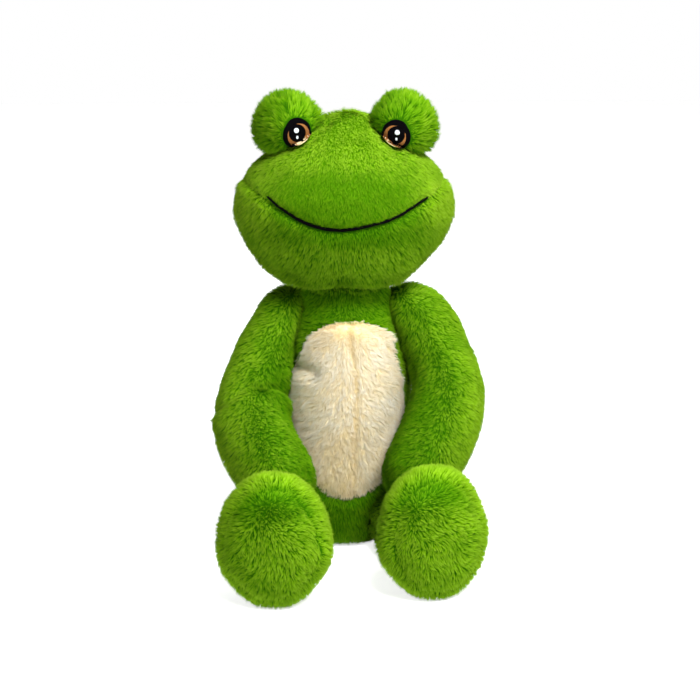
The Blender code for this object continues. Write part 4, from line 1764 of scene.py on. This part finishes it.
@dataclass
class StitchedEye:
    """An eye of satin stitch on its dome: layers of thread, each laid over the last.

    The second layer, the black ring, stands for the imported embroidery. spread, edge and roundness are the
    powers that make a layer's cross section full and its rim steep, and sunk is how far its underside lies in
    the dome. above is the distance in front of the dome from which a layer is laid on it, and dome_depth is
    how far behind the eye's middle the dome's pile can still be near the eye.
    """

    side: Side
    pixel: Pixel
    layers: tuple[StitchLayer, ...] = EYE_LAYERS
    segments: int = 60
    rings: int = 12
    spread: float = 0.8
    edge: float = 8
    roundness: float = 0.5
    sunk: float = 0.4 * MM
    above: float = 0.03
    map_radius: float = 8 * MM
    dome_depth: float = 14 * MM
    middle: Vector = Vector()
    facing: Vector = Vector()
    outward: Vector = Vector()
    up: Vector = Vector()

    def build(self, toy: "Toy", dome: EyeDomeForm) -> None:
        """Lay every layer on the dome.

        Args:
            toy: The whole toy.
            dome: The dome that carries the eye.
        """
        self.middle, normal = toy.view.hit(dome.surface, self.pixel)
        self.facing = (normal.normalized() + toy.view.back()).normalized()
        across = UP.cross(self.facing)
        self.outward = across.normalized() * self.side.value
        self.up = self.facing.cross(across).normalized()
        ring = self.layers[1]
        for layer in self.layers:
            piece = self._lay(layer, dome.surface)
            piece.data.materials.append(toy.rack.get(layer.finish))
            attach(piece, dome.body)
            if layer is ring:
                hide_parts(f"{self.side.label}_eye_embroidery")
            log.info("%s: %d faces", piece.name, len(piece.data.polygons))

    def beyond(self, places: Array) -> Array:
        """Measure how far each place lies outside the eye's outline.

        Args:
            places: Rows of places.

        Returns:
            The distances in the eye's own plane, below 0 inside it, and far for places behind the dome.
        """
        off = places - np.array(self.middle)
        across, up, ahead = (off @ np.array(axis) for axis in (self.outward, self.up, self.facing))
        angle = np.arctan2(up, across)
        rim, ring = self.layers[:2]
        edge = np.maximum(rim.radius(angle), ring.radius(angle))
        return np.where(ahead < -self.dome_depth, PointCloud.NOWHERE, np.hypot(across, up) - edge)

    def _lay(self, layer: StitchLayer, surface: BVHTree) -> bpy.types.Object:
        """Shape one layer of thread and lay it on the dome.

        Args:
            layer: The layer.
            surface: The dome's search tree.

        Returns:
            The layer's piece.
        """
        piece = stitch_ball(f"{self.side.label}_{layer.name}", self.segments, self.rings)
        ball = points_of(piece)
        angle = np.arctan2(ball[:, 1], ball[:, 0])
        reach = np.hypot(ball[:, 0], ball[:, 1]) ** self.spread
        radius = layer.radius(angle) * reach
        across = layer.middle[0] * MM + radius * np.cos(angle)
        up = layer.middle[1] * MM + radius * np.sin(angle)
        lift = np.sign(ball[:, 2]) * np.maximum(1 - reach ** self.edge, 0) ** self.roundness
        lift = np.where(lift > 0, lift * layer.height, self.sunk * lift)
        start = (np.array(self.middle) + across[:, None] * np.array(self.outward)
                 + up[:, None] * np.array(self.up) + self.above * np.array(self.facing))
        placed = []
        for origin, rise in zip(start.tolist(), lift.tolist()):
            hit = surface.ray_cast(origin, -self.facing)[0]
            base = hit if hit is not None else Vector(origin) - self.facing * self.above
            placed.append(base + self.facing * rise)
        move_points(piece, np.array(placed))
        flat = np.stack([across, up] if layer.upright else [angle * self.map_radius, radius], axis=1)
        self._map(piece, flat, layer.upright)
        mesh = bmesh.new()
        mesh.from_mesh(piece.data)
        bmesh.ops.recalc_face_normals(mesh, faces=mesh.faces)
        mesh.to_mesh(piece.data)
        mesh.free()
        piece.data.shade_smooth()
        return piece

    def _map(self, piece: bpy.types.Object, flat: Array, upright: bool) -> None:
        """Lay the thread's map: strands run outwards in a ring, and upright in a spot.

        Args:
            piece: The layer's piece.
            flat: Each vertex's place on the map.
            upright: Whether it is a spot; a ring's faces are closed where its ends meet.
        """
        spread = flat[corners_of(piece)]
        if not upright:
            starts = read(piece.data.polygons, "loop_start", 1, np.int32)
            for start, end in zip(starts, [*starts[1:], len(spread)]):
                turn = spread[start:end, 0]
                if turn.max() - turn.min() > math.pi * self.map_radius:
                    turn[turn < 0] += 2 * math.pi * self.map_radius
        write_map(piece.data, STITCH_MAP, spread)


@dataclass
class MouthLine:
    """The mouth: a line of slanting satin stitches, thick in the middle and fine at its ends."""

    line: Array
    thickness: float = 3.2 * MM
    end_share: float = 0.5
    taper: float = 0.6
    spacing: float = 0.68 * MM
    strand: float = 0.46 * MM
    roundness: float = 1.6
    lift: float = 2.3 * MM
    slant_deg: float = 62.0
    head_middle: Point = (0, 0.03, 0.285)
    segments: int = 8
    rings: int = 6

    def build(self, toy: "Toy", body: str) -> None:
        """Lay the stitches along the line.

        Args:
            toy: The whole toy.
            body: The body that the mouth rides on.
        """
        steps = np.linalg.norm(np.diff(self.line, axis=0), axis=1)
        along = np.concatenate([[0.0], np.cumsum(steps)])
        count = int(along[-1] / self.spacing)
        at = np.linspace(0, along[-1], count)
        spots = np.stack([np.interp(at, along, self.line[:, k]) for k in range(3)], axis=1)
        ways = units(np.gradient(spots, axis=0))
        out = units(spots - np.array(self.head_middle))
        thread = stitch_ball("mouth_stitches", self.segments, self.rings)
        copies = [thread, *(add_object("mouth_stitches", thread.data.copy()) for _ in range(count - 1))]
        for i, copy in enumerate(copies):
            middle = math.sin(math.pi * i / (count - 1)) ** self.taper
            self._lay(copy, spots[i], ways[i], out[i], self.end_share + (1 - self.end_share) * middle)
        choose_only(*copies)
        bpy.ops.object.join()
        thread.data.shade_smooth()
        thread.data.materials.append(toy.rack.get(Finish.BLACK_THREAD))
        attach(thread, body)
        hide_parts("mouth_embroidery")
        log.info("mouth_stitches: %d stitches", count)

    def _lay(self, stitch: bpy.types.Object, spot: Array, way: Array, out: Array, share: float) -> None:
        """Shape one stitch, lay it on the mouth and give it its map.

        Args:
            stitch: The stitch, still a ball.
            spot: Its place.
            way: The way that the mouth runs there.
            out: The way out of the head there.
            share: Its length as a share of the longest.
        """
        ball = points_of(stitch)
        slant = math.radians(self.slant_deg)
        long_way = math.cos(slant) * way + math.sin(slant) * np.cross(out, way)
        side_way = np.cross(out, long_way)
        shape = (ball[:, :1] * long_way * self.thickness * share / 2 / math.sin(slant)
                 + ball[:, 1:2] * side_way * self.strand + ball[:, 2:] * out * self.strand * self.roundness)
        move_points(stitch, spot + out * self.lift + shape)
        flat = np.stack([ball[:, 1], ball[:, 0]], axis=1) * self.strand
        write_map(stitch.data, STITCH_MAP, flat[corners_of(stitch)])


# The whole toy

@dataclass(frozen=True)
class SideLooks:
    """What the photograph shows of one side of the toy, and the seed of that side's pile.

    eye, elbow, whorl and foot are pixels of the photograph: the eye's middle, the fold of the elbow, the
    whorl on the sole, and where the foot is broader, with by how much. dome and arm are spots where the skin
    is fuller.
    """

    seed: int
    eye: Pixel
    whorl: Pixel
    elbow: tuple[Pixel, ...]
    foot: tuple[tuple[Pixel, float], ...]
    dome: tuple[Spot, ...]
    arm: tuple[Spot, ...]


SIDES = {
    Side.LEFT: SideLooks(
        seed=20, eye=(396.0, 134.8), whorl=(435, 520), elbow=(),
        foot=(((388, 556), 3.5 * MM), ((476, 505), -4.5 * MM)),
        dome=(((0.070, -0.018, 0.350), 4 * MM, 15 * MM), ((0.075, -0.016, 0.368), 1.5 * MM, 15 * MM),
              ((0.027, -0.016, 0.383), -2.5 * MM, 10 * MM)),
        arm=(((0.080, 0.0, 0.214), 6 * MM, 22 * MM), ((0.041, -0.004, 0.221), 8.5 * MM, 13 * MM),
             ((0.096, -0.006, 0.196), 4 * MM, 20 * MM)),
    ),
    Side.RIGHT: SideLooks(
        seed=30, eye=(297.5, 133.0), whorl=(282, 515), elbow=((214, 415), (247, 385), (277, 388), (290, 397)),
        foot=(((322, 556), 4.5 * MM), ((226, 562), 3 * MM)),
        dome=(((-0.069, -0.018, 0.350), 2 * MM, 14 * MM), ((-0.022, -0.020, 0.368), 3 * MM, 9 * MM)),
        arm=(((-0.064, 0.0, 0.210), 2 * MM, 20 * MM), ((-0.035, -0.004, 0.221), 6 * MM, 12 * MM),
             ((-0.088, -0.010, 0.185), 2 * MM, 24 * MM)),
    ),
}
TORSO_FULLNESS = (((0.052, 0.002, 0.150), 8 * MM, 22 * MM), ((0.035, -0.006, 0.222), 9.5 * MM, 13 * MM),
                  ((-0.031, -0.006, 0.220), 7.5 * MM, 13 * MM))
HEAD_FULLNESS = (((0.088, -0.004, 0.299), 3.5 * MM, 32 * MM), ((-0.086, -0.004, 0.299), 2.5 * MM, 32 * MM),
                 ((0.064, -0.010, 0.250), -3.5 * MM, 16 * MM), ((0.008, -0.012, 0.372), 2.5 * MM, 18 * MM),
                 ((0.022, -0.014, 0.370), 2 * MM, 9 * MM))

BELLY = PileCut(length=6.2 * MM, width=0.56 * MM, per_mm2=2.5, lean_deg=38, lock=1.7 * MM, gather=0.4,
                lock_tone=0.2, wander=0.9, wander_size=4 * MM, root_shade=0.2)
SMOOTH = PileCut(length=5.2 * MM, width=0.85 * MM, per_mm2=1.6, lean_deg=50, lock_tone=0.08,
                 lock_length=0.08, gather=0.35, crisp=0.45, root_shade=0.18)
SHAGGY = PileCut(length=6.4 * MM, lock=2.8 * MM, gather=0.55, lock_tone=0.2, wander=0.8)
CHEST = PileCut(length=4.8 * MM, lock=1.9 * MM, gather=0.35)
SWIRLED = PileCut(length=5.0 * MM, width=0.66 * MM, per_mm2=1.6, lock=2.1 * MM, wander=1.0,
                  wander_size=12 * MM)
UNSEEN = PileCut(width=0.88 * MM, per_mm2=1.1)
TIGHT = PileCut(length=4 * MM)


class Toy:
    """The whole toy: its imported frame, its materials, and what stands beside each of its bodies.

    The constants say how far up free room is measured and from how far inside the skin, what is kept free
    under another body and above the floor, and from where on a normal points down.
    """

    ROOM_REACH = 14 * MM
    ROOM_START = 1 * MM
    ROOM_GAP = 0.4 * MM
    LEAST_ROOM = 0.3 * MM
    LEAST_FLOOR = 0.2 * MM
    DOWNWARD = -0.2

    def __init__(self, frame: dict[str, Any], view: Viewpoint) -> None:
        """Keep the frame and prepare what every form needs.

        Args:
            view: The photograph's viewpoint.
        """
        self.nodes: dict[str, bpy.types.Object] = frame["nodes"]
        self.members: dict[str, list[str]] = frame["record"]["behaviour"]["bodies"]
        self.view = view
        self.rack = MaterialRack()
        self._others: dict[str, BVHTree] = {}

    def room(self, body: str, roots: Array, normals: Array) -> Array:
        """Measure how far each root can rise before it meets another body or the floor.

        Args:
            body: The roots' own body.
            roots: Rows of places.
            normals: The skin's normals there.

        Returns:
            The free height above each root.
        """
        if body not in self._others:
            others = [self.nodes[n] for b, names in self.members.items() if b != body for n in names]
            self._others[body] = tree_of(*others)
        tree = self._others[body]
        free = np.full(len(roots), self.ROOM_REACH)
        starts = (roots - normals * self.ROOM_START).tolist()
        for i, (start, normal) in enumerate(zip(starts, normals.tolist())):
            hit = tree.ray_cast(start, normal, self.ROOM_REACH)[3]
            if hit is not None:
                free[i] = max(hit - self.ROOM_GAP, self.LEAST_ROOM)
        down = normals[:, 2] < self.DOWNWARD
        floor = np.maximum(roots[down, 2], self.LEAST_FLOOR) / -normals[down, 2]
        free[down] = np.minimum(free[down], floor)
        return free

    def forms(self) -> list[StuffedForm]:
        """List every form of the toy.

        Returns:
            The forms in the order that they are sewn.
        """
        found: list[StuffedForm] = [
            TorsoForm("torso", "torso",
                      (Panel("torso_front", CHEST), Panel("torso_back", UNSEEN),
                       Panel("belly_patch", BELLY, Finish.CREAM_PILE, "cream_plush", Finish.CREAM_BACKING)),
                      ("torso_stuffing", "pellet_pouch"), seed=11, fullness=TORSO_FULLNESS),
            NeckSeam("neck_seam", "neck", (Panel("neck_seam", TIGHT),), (), seed=12, voxel=2.2 * MM),
            HeadForm("head", "head",
                     (Panel("head_face", SMOOTH, backing=Finish.FACE_BACKING), Panel("head_chin"),
                      Panel("head_back", UNSEEN)),
                     ("head_stuffing",), seed=13, fullness=HEAD_FULLNESS),
        ]
        for side in Side:
            found += self._side_forms(side, SIDES[side])
        return found

    def _side_forms(self, side: Side, looks: SideLooks) -> list[StuffedForm]:
        """List the forms of one side: eye dome, arm, leg and foot.

        Args:
            side: The side.
            looks: What the photograph shows of it.

        Returns:
            The four forms in the order that they are sewn.
        """
        dome, arm, leg, foot = (f"{side.label}_{part}" for part in ("eye_dome", "arm", "leg", "foot"))
        return [
            EyeDomeForm(dome, "head", (Panel(dome, SHAGGY),), (f"{dome}_stuffing",),
                        seed=looks.seed, fill=0.9, fullness=looks.dome, voxel=3 * MM, side=side,
                        eye_pixel=looks.eye),
            ArmForm(arm, arm, (Panel(f"{arm}_front"), Panel(f"{arm}_back", UNSEEN)), (f"{arm}_stuffing",),
                    seed=looks.seed + 1, fill=0.5, fullness=looks.arm, side=side, elbow=looks.elbow),
            LegForm(leg, leg, (Panel(f"{leg}_top", UNSEEN), Panel(f"{leg}_bottom", UNSEEN)),
                    (f"{leg}_stuffing",), seed=looks.seed + 2, fill=0.5),
            FootForm(foot, foot, (Panel(f"{foot}_upper", SWIRLED), Panel(f"{foot}_sole", SWIRLED)),
                     (f"{foot}_stuffing",), seed=looks.seed + 3, fill=0.8, whorl=looks.whorl,
                     broad=looks.foot),
        ]


def main() -> None:
    """Build the toy, the studio and the camera."""
    logging.basicConfig(level=logging.INFO, format="%(name)s %(message)s")
    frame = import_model()
    view = Viewpoint()
    view.build()
    Studio().build()
    toy = Toy(frame, view)
    for form in toy.forms():
        form.build(toy)


if __name__ == "__main__":
    main()
